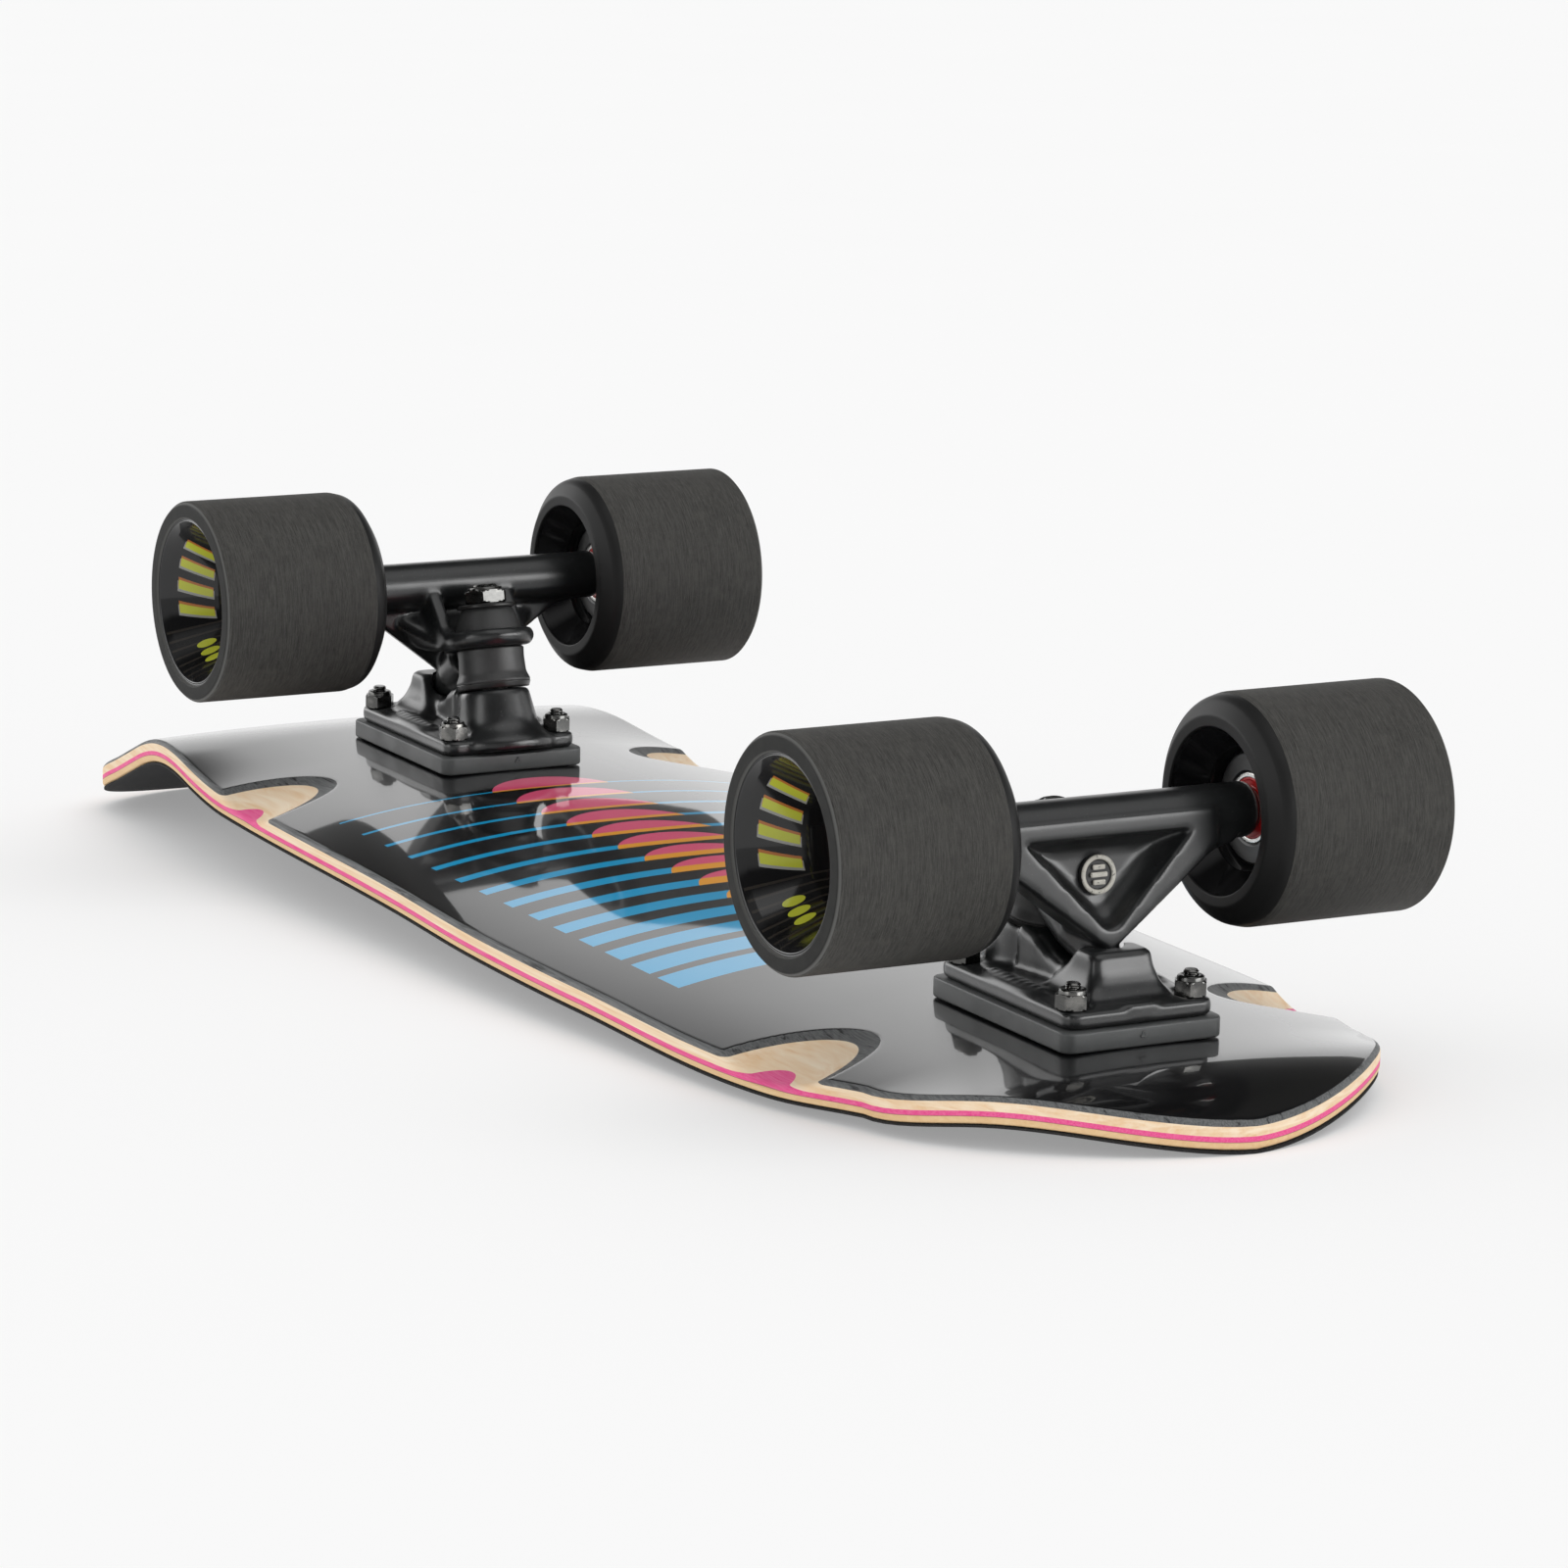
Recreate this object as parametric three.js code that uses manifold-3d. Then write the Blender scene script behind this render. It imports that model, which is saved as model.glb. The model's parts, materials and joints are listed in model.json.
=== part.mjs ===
// A compact cruiser skateboard standing on its wheels: a pressed deck with two kicks and four carved
// wheel wells, two kingpin trucks on riser pads, and four wide wheels on bearings.
// Millimetres, +Z up, +X towards the nose. The origin is on the ground under the middle of the deck's length.
import * as THREE from "three";
import { mergeVertices } from "three/addons/utils/BufferGeometryUtils.js";
import Module from "manifold-3d";

const wasm = await Module();
wasm.setup();

// Board
const axleSpacing = 442;
const noseBeyondAxle = 95;
const tailBeyondAxle = 186;
const deckWidth = 203;
const noseHipWidth = 194;
const noseCapWidth = 173;
const tailHipWidth = 186;
const tailCapWidth = 160;
const noseCapLength = 79;
const tailCapLength = 48;
const noseCapPower = 1.65;
const tailCapPower = 2.6;
const deckThickness = 8.5;
const gripThickness = 0.8;
const concaveDepth = 11;
const endConcaveDepth = 3;
const noseConcaveFade = 60;
const tailConcaveFade = 90;
const concavePower = 2.4;
const noseKickStart = 50;
const noseKickAngle = THREE.MathUtils.degToRad(17.5);
const noseKickRadius = 140;
const tailKickStart = 43;
const tailKickAngle = THREE.MathUtils.degToRad(20);
const tailKickRadius = 185;

// Wheel wells, cut by a drum that leans outwards and reaches deepest at the rail
const wellSpacing = 396;
const wellDrumRadius = 70;
const wellInnerEdge = 60;
const wellDepthAtRail = 5.2;

// Truck, measured outwards from the axle (along the board) and down from the deck
const axleToBaseplateFoot = 54.5;
const riserThickness = 6.4;
const riserLength = 81;
const riserWidth = 55.5;
const plateLength = 77;
const plateWidth = 51.5;
const plateThickness = 5.4;
const plateCornerRadius = 4;
const plateCentre = -7.2;
const boltSpacingAlong = 63.5;
const boltSpacingAcross = 41.3;
const hangerWidth = 109.4;
const hangerBarRadius = 8.6;
const axleRadius = 4;
const axleNutThickness = 6.5;
const axleNutFlats = 13;

// Bushing seat: where the kingpin crosses the hanger's ring
const seatInboard = 25.3;
const seatDrop = 16.8;
const kingpinTilt = THREE.MathUtils.degToRad(14);
const kingpinRadius = 4.76;
const kingpinHeadFlats = 14.3;
const kingpinHeadThickness = 6;
const kingpinNutThickness = 5.8;
const kingpinEndBeyondNut = 1;
const ringRadius = 16;
const ringThickness = 5.6;
const ringBoreRadius = 8.2;
const boardsideBushingHeight = 12.7;
const boardsideBushingRadius = 12.25;
const roadsideBushingHeight = 8.2;
const roadsideBushingTopRadius = 8.9;
const roadsideBushingFootRadius = 11.4;
const boardsideWasherRadius = 13.5;
const roadsideWasherRadius = 10.3;
const boardsideWasherThickness = 1.7;
const roadsideWasherThickness = 1.4;
const towerTopRadius = 12.6;
const towerFootRadius = 15.6;

// Pivot: the hanger's nose turns in a cup in the baseplate
const pivotTilt = THREE.MathUtils.degToRad(35);
const pivotCupStart = 43;
const pivotCupLength = 7.5;
const pivotCupWall = 1.5;
const pivotNoseRadius = 5.5;
const pivotNoseStart = 24;
const pivotHousingHalfWidth = 11;
const pivotHousingTopOut = 19;
const pivotHousingFootOut = 26.5;
const pivotHousingRise = 14.5;

// Hanger's triangular face, across the board and up from the axle
const webTopHalfWidth = 37.6;
const webApexHeight = 33.6;
const webApexRadius = 6.5;
const webFaceOut = 9.2;
const webThickness = 13;
const webLean = THREE.MathUtils.degToRad(6);
const pocketInset = 5.6;
const pocketCornerRadius = 5;
const pocketDepth = 8.5;
const neckHalfWidth = 26;

// Wheel
const wheelDiameter = 72;
const wheelWidth = 64.4;
const wheelInnerFace = 42.6;
const bearingInnerFace = 55.55;
const coreWidth = 24.2;
const coreRadius = 18;
const outerLipWidth = 6;
const innerLipWidth = 10;
const outerChamfer = 1.7;
const innerShoulderDrop = 6.5;
const innerShoulderWidth = 3.2;
const bearingRadius = 11;
const bearingWidth = 7;
const coreShoulderRadius = 8.5;

// Mounting hardware
const boltRadius = 2.4;
const boltHeadRadius = 4.6;
const boltHeadDepth = 2.4;
const boltEndBeyondNut = 1.6;
const locknutFlats = 9.5;
const locknutThickness = 6;

// Gaps
const restGap = 0.3;
const turnClearance = 0.3;

// Facets round a full circle
const wheelSides = 32;
const roundSides = 20;
const smallSides = 12;
const drumSides = 48;
const hubSides = 16;

const wheelRadius = wheelDiameter / 2;
const outerLipRadius = wheelRadius - outerLipWidth;
const innerLipRadius = wheelRadius - innerLipWidth;
const axleHeight = wheelRadius;
const frontAxle = axleSpacing / 2;
const rearAxle = -axleSpacing / 2;
const noseEnd = frontAxle + noseBeyondAxle;
const tailEnd = rearAxle - tailBeyondAxle;
const plateFootHeight = axleHeight + axleToBaseplateFoot;
const plateTopHeight = plateFootHeight - plateThickness;
const deckUnderside = plateFootHeight + riserThickness;
const deckTop = deckUnderside + deckThickness;

// ---- solids and meshes ----

function toSolid(geometry) {
  const bare = geometry.clone();
  bare.deleteAttribute("normal");
  bare.deleteAttribute("uv");
  const merged = mergeVertices(bare, 1e-4);
  return new wasm.Manifold(
    new wasm.Mesh({
      numProp: 3,
      vertProperties: merged.attributes.position.array,
      triVerts: new Uint32Array(merged.index.array),
    }),
  );
}

function toGeometry(solid) {
  const mesh = solid.getMesh();
  const geometry = new THREE.BufferGeometry();
  geometry.setAttribute("position", new THREE.BufferAttribute(mesh.vertProperties, 3));
  geometry.setIndex(new THREE.BufferAttribute(mesh.triVerts, 1));
  geometry.computeVertexNormals();
  return geometry;
}

function union(geometries) {
  return geometries.map(toSolid).reduce((whole, piece) => whole.add(piece));
}

function cut(solid, geometries) {
  return geometries.map(toSolid).reduce((left, tool) => left.subtract(tool), solid);
}

// A profile of [radius, height] pairs turned round Z.
function turned(profile, sides) {
  const points = profile.map(([radius, height]) => new THREE.Vector2(radius, height));
  return new THREE.LatheGeometry(points, sides).rotateX(Math.PI / 2);
}

// A closed ring of rectangular section round Z.
function ring(innerRadius, outerRadius, low, high, sides) {
  return turned(
    [[innerRadius, low], [outerRadius, low], [outerRadius, high], [innerRadius, high], [innerRadius, low]],
    sides,
  );
}

function rod(radius, low, high, sides) {
  return turned([[0, low], [radius, low], [radius, high], [0, high]], sides);
}

function hexagon(flats) {
  const corner = flats / Math.sqrt(3);
  const shape = new THREE.Shape();
  for (let i = 0; i < 6; i++) {
    const angle = (i * Math.PI) / 3;
    const move = i ? "lineTo" : "moveTo";
    shape[move](corner * Math.cos(angle), corner * Math.sin(angle));
  }
  shape.closePath();
  return shape;
}

function hexNut(flats, boreRadius, low, high) {
  const shape = hexagon(flats);
  const bore = new THREE.Path();
  bore.absarc(0, 0, boreRadius, 0, 2 * Math.PI, true);
  shape.holes.push(bore);
  const options = { depth: high - low, bevelEnabled: false, curveSegments: 6 };
  return new THREE.ExtrudeGeometry(shape, options).translate(0, 0, low);
}

function hexPrism(flats, low, high) {
  const options = { depth: high - low, bevelEnabled: false };
  return new THREE.ExtrudeGeometry(hexagon(flats), options).translate(0, 0, low);
}

// A slab with rounded corners, centred on (x, 0), with its own holes at the bolt pattern.
function roundedSlab(length, width, corner, low, high, x) {
  const shape = new THREE.Shape();
  const halfLength = length / 2 - corner;
  const halfWidth = width / 2 - corner;
  shape.absarc(halfLength, halfWidth, corner, 0, Math.PI / 2);
  shape.absarc(-halfLength, halfWidth, corner, Math.PI / 2, Math.PI);
  shape.absarc(-halfLength, -halfWidth, corner, Math.PI, 1.5 * Math.PI);
  shape.absarc(halfLength, -halfWidth, corner, 1.5 * Math.PI, 2 * Math.PI);
  shape.closePath();
  const options = { depth: high - low, bevelEnabled: false, curveSegments: 4 };
  return new THREE.ExtrudeGeometry(shape, options).translate(x, 0, low);
}

// A triangle across the board (Y) that hangs from its top edge, with rounded corners, extruded along X.
function roundedTriangle(halfWidth, top, apex, cornerRadius, apexRadius, thickness) {
  const rise = apex - top;
  const side = Math.atan2(rise, halfWidth);
  const apexCentre = apex - apexRadius / Math.cos(side);
  const cornerY = halfWidth - cornerRadius / Math.tan(side / 2);
  const shape = new THREE.Shape();
  shape.absarc(cornerY, top + cornerRadius, cornerRadius, -Math.PI / 2, Math.PI / 2 - side);
  shape.absarc(0, apexCentre, apexRadius, Math.PI / 2 - side, Math.PI / 2 + side);
  shape.absarc(-cornerY, top + cornerRadius, cornerRadius, Math.PI / 2 + side, 1.5 * Math.PI);
  shape.closePath();
  const options = { depth: thickness, bevelEnabled: false, curveSegments: 5 };
  // The shape's own X becomes Y and its Y becomes Z.
  return new THREE.ExtrudeGeometry(shape, options).rotateX(Math.PI / 2).rotateZ(Math.PI / 2);
}

function addMesh(parent, name, geometry, material) {
  const mesh = new THREE.Mesh(geometry, material);
  mesh.name = name;
  parent.add(mesh);
  return mesh;
}

// ---- materials ----

function surface(color, roughness, metalness) {
  return new THREE.MeshStandardMaterial({ color, roughness, metalness });
}

const maple = () => surface(0xd9b98c, 0.5, 0);
const gripGrit = () => surface(0x1c1c1c, 0.95, 0);
const satinBlack = () => surface(0x1a1b1b, 0.38, 0.2);
const riserBlack = () => surface(0x2c2c2c, 0.6, 0);
const bushingBlack = () => surface(0x222322, 0.5, 0);
const darkOxide = () => surface(0x2a2a28, 0.35, 0.8);
const axleSteel = () => surface(0x9a9a98, 0.35, 0.9);
const bearingSteel = () => surface(0xc9c9c6, 0.25, 0.9);
const urethane = () => surface(0x4a4a48, 0.65, 0);
const coreBlack = () => surface(0x141414, 0.4, 0);

// ---- deck and grip ----

const outlineStops = [
  [tailEnd + tailCapLength, tailCapWidth / 2],
  [rearAxle - 29, tailHipWidth / 2],
  [rearAxle + 161, deckWidth / 2 - 2.5],
  [0, deckWidth / 2],
  [frontAxle - 141, deckWidth / 2],
  [frontAxle - 21, noseHipWidth / 2],
  [noseEnd - noseCapLength, noseCapWidth / 2],
];
const outlineCurve = new THREE.CubicInterpolant(
  outlineStops.map(([x]) => x),
  outlineStops.map(([, half]) => half),
  1,
);

// The factor by which a rounded end narrows, for a distance into a cap of the given length.
function capFactor(distance, length, power) {
  const share = THREE.MathUtils.clamp(distance / length, 0, 1);
  return Math.pow(1 - Math.pow(share, power), 1 / power);
}

function halfWidthAt(x) {
  const noseCap = noseEnd - noseCapLength;
  const tailCap = tailEnd + tailCapLength;
  const base = outlineCurve.evaluate(THREE.MathUtils.clamp(x, tailCap, noseCap))[0];
  const nose = capFactor(x - noseCap, noseCapLength, noseCapPower);
  const tail = capFactor(tailCap - x, tailCapLength, tailCapPower);
  return base * nose * tail;
}

// The rise of a kick that leaves the flat tangentially, bends at a radius, then runs straight.
function kickRise(distance, angle, radius) {
  const run = Math.max(distance, 0);
  const bendRun = radius * Math.sin(angle);
  if (run < bendRun) return radius - Math.sqrt(radius * radius - run * run);
  return radius * (1 - Math.cos(angle)) + (run - bendRun) * Math.tan(angle);
}

function undersideAt(x, y) {
  const beyondNoseKick = x - frontAxle - noseKickStart;
  const beyondTailKick = rearAxle - tailKickStart - x;
  const nose = kickRise(beyondNoseKick, noseKickAngle, noseKickRadius);
  const tail = kickRise(beyondTailKick, tailKickAngle, tailKickRadius);
  const noseFade = THREE.MathUtils.smoothstep(beyondNoseKick, -noseConcaveFade / 2, noseConcaveFade / 2);
  const tailFade = THREE.MathUtils.smoothstep(beyondTailKick, -tailConcaveFade / 2, tailConcaveFade / 2);
  const depth = THREE.MathUtils.lerp(concaveDepth, endConcaveDepth, noseFade + tailFade);
  return deckUnderside + nose + tail + depth * Math.pow(Math.abs(y) / (deckWidth / 2), concavePower);
}

// Places along the deck where its cross-section is taken, closer together in the rounded ends.
function deckStations() {
  const stations = [];
  const capSteps = 5;
  const capStop = 0.42 * Math.PI;
  for (let i = capSteps; i >= 1; i--) {
    stations.push(tailEnd + tailCapLength * (1 - Math.sin((i / capSteps) * capStop)));
  }
  const start = tailEnd + tailCapLength;
  const end = noseEnd - noseCapLength;
  const middleSteps = 16;
  for (let i = 0; i <= middleSteps; i++) stations.push(THREE.MathUtils.lerp(start, end, i / middleSteps));
  for (let i = 1; i <= capSteps; i++) {
    stations.push(noseEnd - noseCapLength * (1 - Math.sin((i / capSteps) * capStop)));
  }
  stations[0] = tailEnd;
  stations[stations.length - 1] = noseEnd;
  return stations;
}

// The half-width of the short flat at each very end of the outline.
function stationHalfWidth(x) {
  const tipStep = 1.2;
  const inward = THREE.MathUtils.clamp(x, tailEnd + tipStep, noseEnd - tipStep);
  return halfWidthAt(inward);
}

// A curved sheet of the deck's outline between two heights above the deck's underside.
function deckSheet(low, high) {
  const stations = deckStations();
  const across = 8;
  const row = across + 1;
  const slope = (x) => undersideAt(x + 0.5, 0) - undersideAt(x - 0.5, 0);
  const layer = (height) =>
    stations.flatMap((x) => {
      const lift = height * Math.hypot(1, slope(x));
      return Array.from({ length: row }, (_, j) => {
        const y = stationHalfWidth(x) * ((2 * j) / across - 1);
        return [x, y, undersideAt(x, y) + lift];
      });
    });
  const points = [...layer(low), ...layer(high)];
  const topStart = stations.length * row;
  const faces = [];
  const quad = (a, b, c, d) => faces.push(a, b, c, a, c, d);
  for (let i = 0; i < stations.length - 1; i++) {
    for (let j = 0; j < across; j++) {
      const a = i * row + j;
      quad(a, a + 1, a + 1 + row, a + row);
      quad(topStart + a, topStart + a + row, topStart + a + 1 + row, topStart + a + 1);
    }
    const right = i * row;
    const left = i * row + across;
    quad(right, right + row, topStart + right + row, topStart + right);
    quad(left + row, left, topStart + left, topStart + left + row);
  }
  const last = (stations.length - 1) * row;
  for (let j = 0; j < across; j++) {
    quad(j + 1, j, topStart + j, topStart + j + 1);
    quad(last + j, last + j + 1, topStart + last + j + 1, topStart + last + j);
  }
  const geometry = new THREE.BufferGeometry();
  geometry.setAttribute("position", new THREE.Float32BufferAttribute(points.flat(), 3));
  geometry.setIndex(faces);
  return geometry;
}

// The drum that carves one wheel well: its upper side slopes from the inner edge down into the rail.
function wellDrum(x, side) {
  const rail = deckWidth / 2;
  const innerHeight = undersideAt(x, wellInnerEdge);
  const outerHeight = undersideAt(x, rail) + wellDepthAtRail;
  const tilt = Math.atan2(outerHeight - innerHeight, rail - wellInnerEdge);
  const length = 200;
  const drum = new THREE.CylinderGeometry(wellDrumRadius, wellDrumRadius, length, drumSides);
  drum.rotateX(side * tilt);
  const midHeight = (innerHeight + outerHeight) / 2 - wellDrumRadius / Math.cos(tilt);
  return drum.translate(x, (side * (wellInnerEdge + rail)) / 2, midHeight);
}

function boltPlaces() {
  const places = [];
  for (const end of [1, -1]) {
    for (const along of [1, -1]) {
      for (const side of [1, -1]) {
        const x = end * (frontAxle + plateCentre + (along * boltSpacingAlong) / 2);
        places.push([x, (side * boltSpacingAcross) / 2]);
      }
    }
  }
  return places;
}

function buildDeck(parent) {
  const boltHole = boltRadius + turnClearance;
  const holes = boltPlaces().map(([x, y]) => {
    const seat = undersideAt(x, y) + deckThickness + gripThickness - boltHeadDepth - restGap;
    const head = boltHeadRadius + turnClearance;
    const profile = [
      [0, deckUnderside - 5],
      [boltHole, deckUnderside - 5],
      [boltHole, seat],
      [head, seat + boltHeadDepth - 0.4],
      [head, deckTop + 20],
      [0, deckTop + 20],
    ];
    return turned(profile, smallSides).translate(x, y, 0);
  });
  const wells = [1, -1].flatMap((end) => [1, -1].map((side) => wellDrum((end * wellSpacing) / 2, side)));
  const wood = cut(toSolid(deckSheet(0, deckThickness)), [...holes, ...wells]);
  addMesh(parent, "deck", toGeometry(wood), maple());
  const grit = cut(toSolid(deckSheet(deckThickness + 0.05, deckThickness + gripThickness)), holes);
  addMesh(parent, "grip_tape", toGeometry(grit), gripGrit());
}

// ---- truck, built about its axle: +X outwards along the board, Z from the ground ----

function platePattern(radius, low, high) {
  const tools = [];
  for (const along of [1, -1]) {
    for (const side of [1, -1]) {
      const x = plateCentre + (along * boltSpacingAlong) / 2;
      tools.push(rod(radius, low, high, smallSides).translate(x, (side * boltSpacingAcross) / 2, 0));
    }
  }
  return tools;
}

// Geometry made along the kingpin (+Z towards the deck, zero at the seat), moved to its place.
function onKingpin(geometry) {
  return geometry.rotateY(-kingpinTilt).translate(-seatInboard, 0, axleHeight + seatDrop);
}

// Geometry made along the pivot axis (+Z towards the pivot cup, zero at the seat), moved to its place.
function onPivot(geometry) {
  return geometry.rotateY(Math.PI / 2 - pivotTilt).translate(-seatInboard, 0, axleHeight + seatDrop);
}

const boardsideBushingStart = ringThickness / 2 + restGap;
const boardsideBushingEnd = boardsideBushingStart + boardsideBushingHeight;
const boardsideWasherStart = boardsideBushingEnd + restGap;
const towerTop = boardsideWasherStart + boardsideWasherThickness + restGap;
const roadsideBushingStart = -ringThickness / 2 - restGap;
const roadsideBushingEnd = roadsideBushingStart - roadsideBushingHeight;
const roadsideWasherStart = roadsideBushingEnd - restGap;
const kingpinNutStart = roadsideWasherStart - roadsideWasherThickness - restGap;
const kingpinNutEnd = kingpinNutStart - kingpinNutThickness;
const kingpinEnd = kingpinNutEnd - kingpinEndBeyondNut;
// The kingpin's head lies flush inside the plate: its corner stays above the plate's foot.
const kingpinHeadRadius = kingpinHeadFlats / Math.sqrt(3);
const headFootHeight = plateFootHeight - 1 - kingpinHeadRadius * Math.sin(kingpinTilt);
const kingpinHeadEnd = (headFootHeight - axleHeight - seatDrop) / Math.cos(kingpinTilt);
const kingpinHeadStart = kingpinHeadEnd - kingpinHeadThickness;

function baseplateGeometry() {
  const plate = roundedSlab(plateLength, plateWidth, plateCornerRadius, plateTopHeight, plateFootHeight, plateCentre);
  const footReach = (plateFootHeight - axleHeight - seatDrop) / Math.cos(kingpinTilt) + towerFootRadius;
  const tower = onKingpin(
    turned([[0, towerTop], [towerTopRadius, towerTop], [towerFootRadius, footReach], [0, footReach]], roundSides),
  );
  const housingShape = new THREE.Shape();
  const housingTop = plateTopHeight - pivotHousingRise;
  housingShape.moveTo(pivotHousingFootOut, plateFootHeight - 1);
  housingShape.lineTo(pivotHousingTopOut, housingTop);
  housingShape.lineTo(pivotHousingTopOut - 9, housingTop);
  housingShape.lineTo(-3, plateTopHeight - 5);
  housingShape.lineTo(-20, plateTopHeight - 9);
  housingShape.lineTo(-20, plateFootHeight - 1);
  housingShape.closePath();
  const options = { depth: 2 * pivotHousingHalfWidth, bevelEnabled: false };
  const housing = new THREE.ExtrudeGeometry(housingShape, options);
  housing.rotateX(Math.PI / 2).translate(0, pivotHousingHalfWidth, 0);
  const cupBoss = onPivot(
    rod(pivotHousingHalfWidth, pivotCupStart - 0.6, pivotCupStart + pivotCupLength + 2.5, roundSides),
  );
  const below = new THREE.BoxGeometry(200, 200, 60).translate(0, 0, plateFootHeight + 30);
  const headPocket = onKingpin(rod(kingpinHeadRadius + 2 * turnClearance, kingpinHeadStart - restGap, 60, smallSides));
  const kingpinBore = onKingpin(rod(kingpinRadius + turnClearance, towerTop - 5, 60, roundSides));
  const cupReach = pivotCupStart + pivotCupLength + restGap;
  const cupSocketRadius = pivotNoseRadius + turnClearance + pivotCupWall + turnClearance;
  const cupSocket = onPivot(rod(cupSocketRadius, pivotCupStart - 12, cupReach, roundSides));
  const solid = union([plate, tower, housing, cupBoss]);
  const boltHoles = platePattern(boltRadius + turnClearance, plateTopHeight - 1, plateFootHeight + 1);
  const nutRoom = platePattern(locknutFlats / Math.sqrt(3) + 1, plateTopHeight - 30, plateTopHeight);
  return toGeometry(cut(solid, [below, headPocket, kingpinBore, cupSocket, ...boltHoles, ...nutRoom]));
}

function riserGeometry() {
  const low = plateFootHeight + 0.1;
  const high = deckUnderside - 0.1;
  const slab = roundedSlab(riserLength, riserWidth, plateCornerRadius, low, high, plateCentre);
  const holes = platePattern(boltRadius + turnClearance, low - 1, high + 1);
  return toGeometry(cut(toSolid(slab), holes));
}

function pivotCupGeometry() {
  const inner = pivotNoseRadius + turnClearance;
  const outer = inner + pivotCupWall;
  const end = pivotCupStart + pivotCupLength;
  const floor = end - pivotCupWall;
  const profile = [
    [0, floor],
    [inner, floor],
    [inner, pivotCupStart],
    [outer, pivotCupStart],
    [outer, end],
    [0, end],
  ];
  return onPivot(turned(profile, roundSides));
}

function hangerGeometry() {
  const bar = rod(hangerBarRadius, -hangerWidth / 2, hangerWidth / 2, roundSides);
  bar.rotateX(Math.PI / 2).translate(0, 0, axleHeight);
  const web = roundedTriangle(webTopHalfWidth, 0, webApexHeight, 1.2, webApexRadius, webThickness);
  web.translate(-webThickness, 0, 0);
  const topOfPocket = 3.2;
  const pocket = roundedTriangle(
    webTopHalfWidth - 1.9 * pocketInset,
    topOfPocket,
    webApexHeight - pocketInset,
    pocketCornerRadius / 2,
    pocketCornerRadius,
    pocketDepth + 20,
  );
  pocket.translate(-pocketDepth, 0, 0);
  for (const piece of [web, pocket]) piece.rotateY(webLean).translate(webFaceOut, 0, axleHeight);
  const seatRing = onKingpin(rod(ringRadius, -ringThickness / 2, ringThickness / 2, roundSides));
  const neckShape = new THREE.Shape();
  neckShape.moveTo(-2, -ringRadius + 0.3);
  neckShape.lineTo(21, -neckHalfWidth);
  neckShape.lineTo(27, -neckHalfWidth);
  neckShape.lineTo(27, neckHalfWidth);
  neckShape.lineTo(21, neckHalfWidth);
  neckShape.lineTo(-2, ringRadius - 0.3);
  neckShape.closePath();
  const options = { depth: ringThickness, bevelEnabled: false };
  const neck = onKingpin(new THREE.ExtrudeGeometry(neckShape, options).translate(0, 0, -ringThickness / 2));
  const noseEndAt = pivotCupStart + pivotCupLength - pivotCupWall - turnClearance;
  const nose = onPivot(
    turned(
      [
        [0, pivotNoseStart],
        [pivotNoseRadius + 3.5, pivotNoseStart],
        [pivotNoseRadius, pivotCupStart - 4],
        [pivotNoseRadius, noseEndAt - 2],
        [pivotNoseRadius - 2, noseEndAt],
        [0, noseEndAt],
      ],
      roundSides,
    ),
  );
  const ringBore = onKingpin(rod(ringBoreRadius, -20, 20, roundSides));
  const axleBore = rod(axleRadius + turnClearance, -hangerWidth, hangerWidth, smallSides * 2);
  axleBore.rotateX(Math.PI / 2).translate(0, 0, axleHeight);
  return toGeometry(cut(union([bar, web, seatRing, neck, nose]), [pocket, ringBore, axleBore]));
}

function axleGeometry() {
  const nutOuterFace = bearingInnerFace + coreWidth + 2 * restGap + axleNutThickness;
  const end = nutOuterFace + 1.5;
  const chamfer = 0.8;
  const profile = [
    [0, -end],
    [axleRadius - chamfer, -end],
    [axleRadius, -end + chamfer],
    [axleRadius, end - chamfer],
    [axleRadius - chamfer, end],
    [0, end],
  ];
  return turned(profile, hubSides).rotateX(Math.PI / 2).translate(0, 0, axleHeight);
}

function kingpinGeometry() {
  const shank = rod(kingpinRadius, kingpinEnd, kingpinHeadStart + 1, roundSides);
  const head = hexPrism(kingpinHeadFlats, kingpinHeadStart, kingpinHeadEnd);
  return toGeometry(toSolid(onKingpin(shank)).add(toSolid(onKingpin(head))));
}

function boardsideBushingGeometry() {
  const bore = kingpinRadius + turnClearance;
  const bevel = 1.2;
  const low = boardsideBushingStart;
  const high = boardsideBushingEnd;
  const radius = boardsideBushingRadius;
  const profile = [
    [bore, low],
    [radius - bevel, low],
    [radius, low + bevel],
    [radius, high - bevel],
    [radius - bevel, high],
    [bore, high],
    [bore, low],
  ];
  return onKingpin(turned(profile, roundSides));
}

function roadsideBushingGeometry() {
  const bore = kingpinRadius + turnClearance;
  const profile = [
    [bore, roadsideBushingEnd],
    [roadsideBushingTopRadius, roadsideBushingEnd],
    [roadsideBushingFootRadius, roadsideBushingStart],
    [bore, roadsideBushingStart],
    [bore, roadsideBushingEnd],
  ];
  return onKingpin(turned(profile, roundSides));
}

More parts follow.
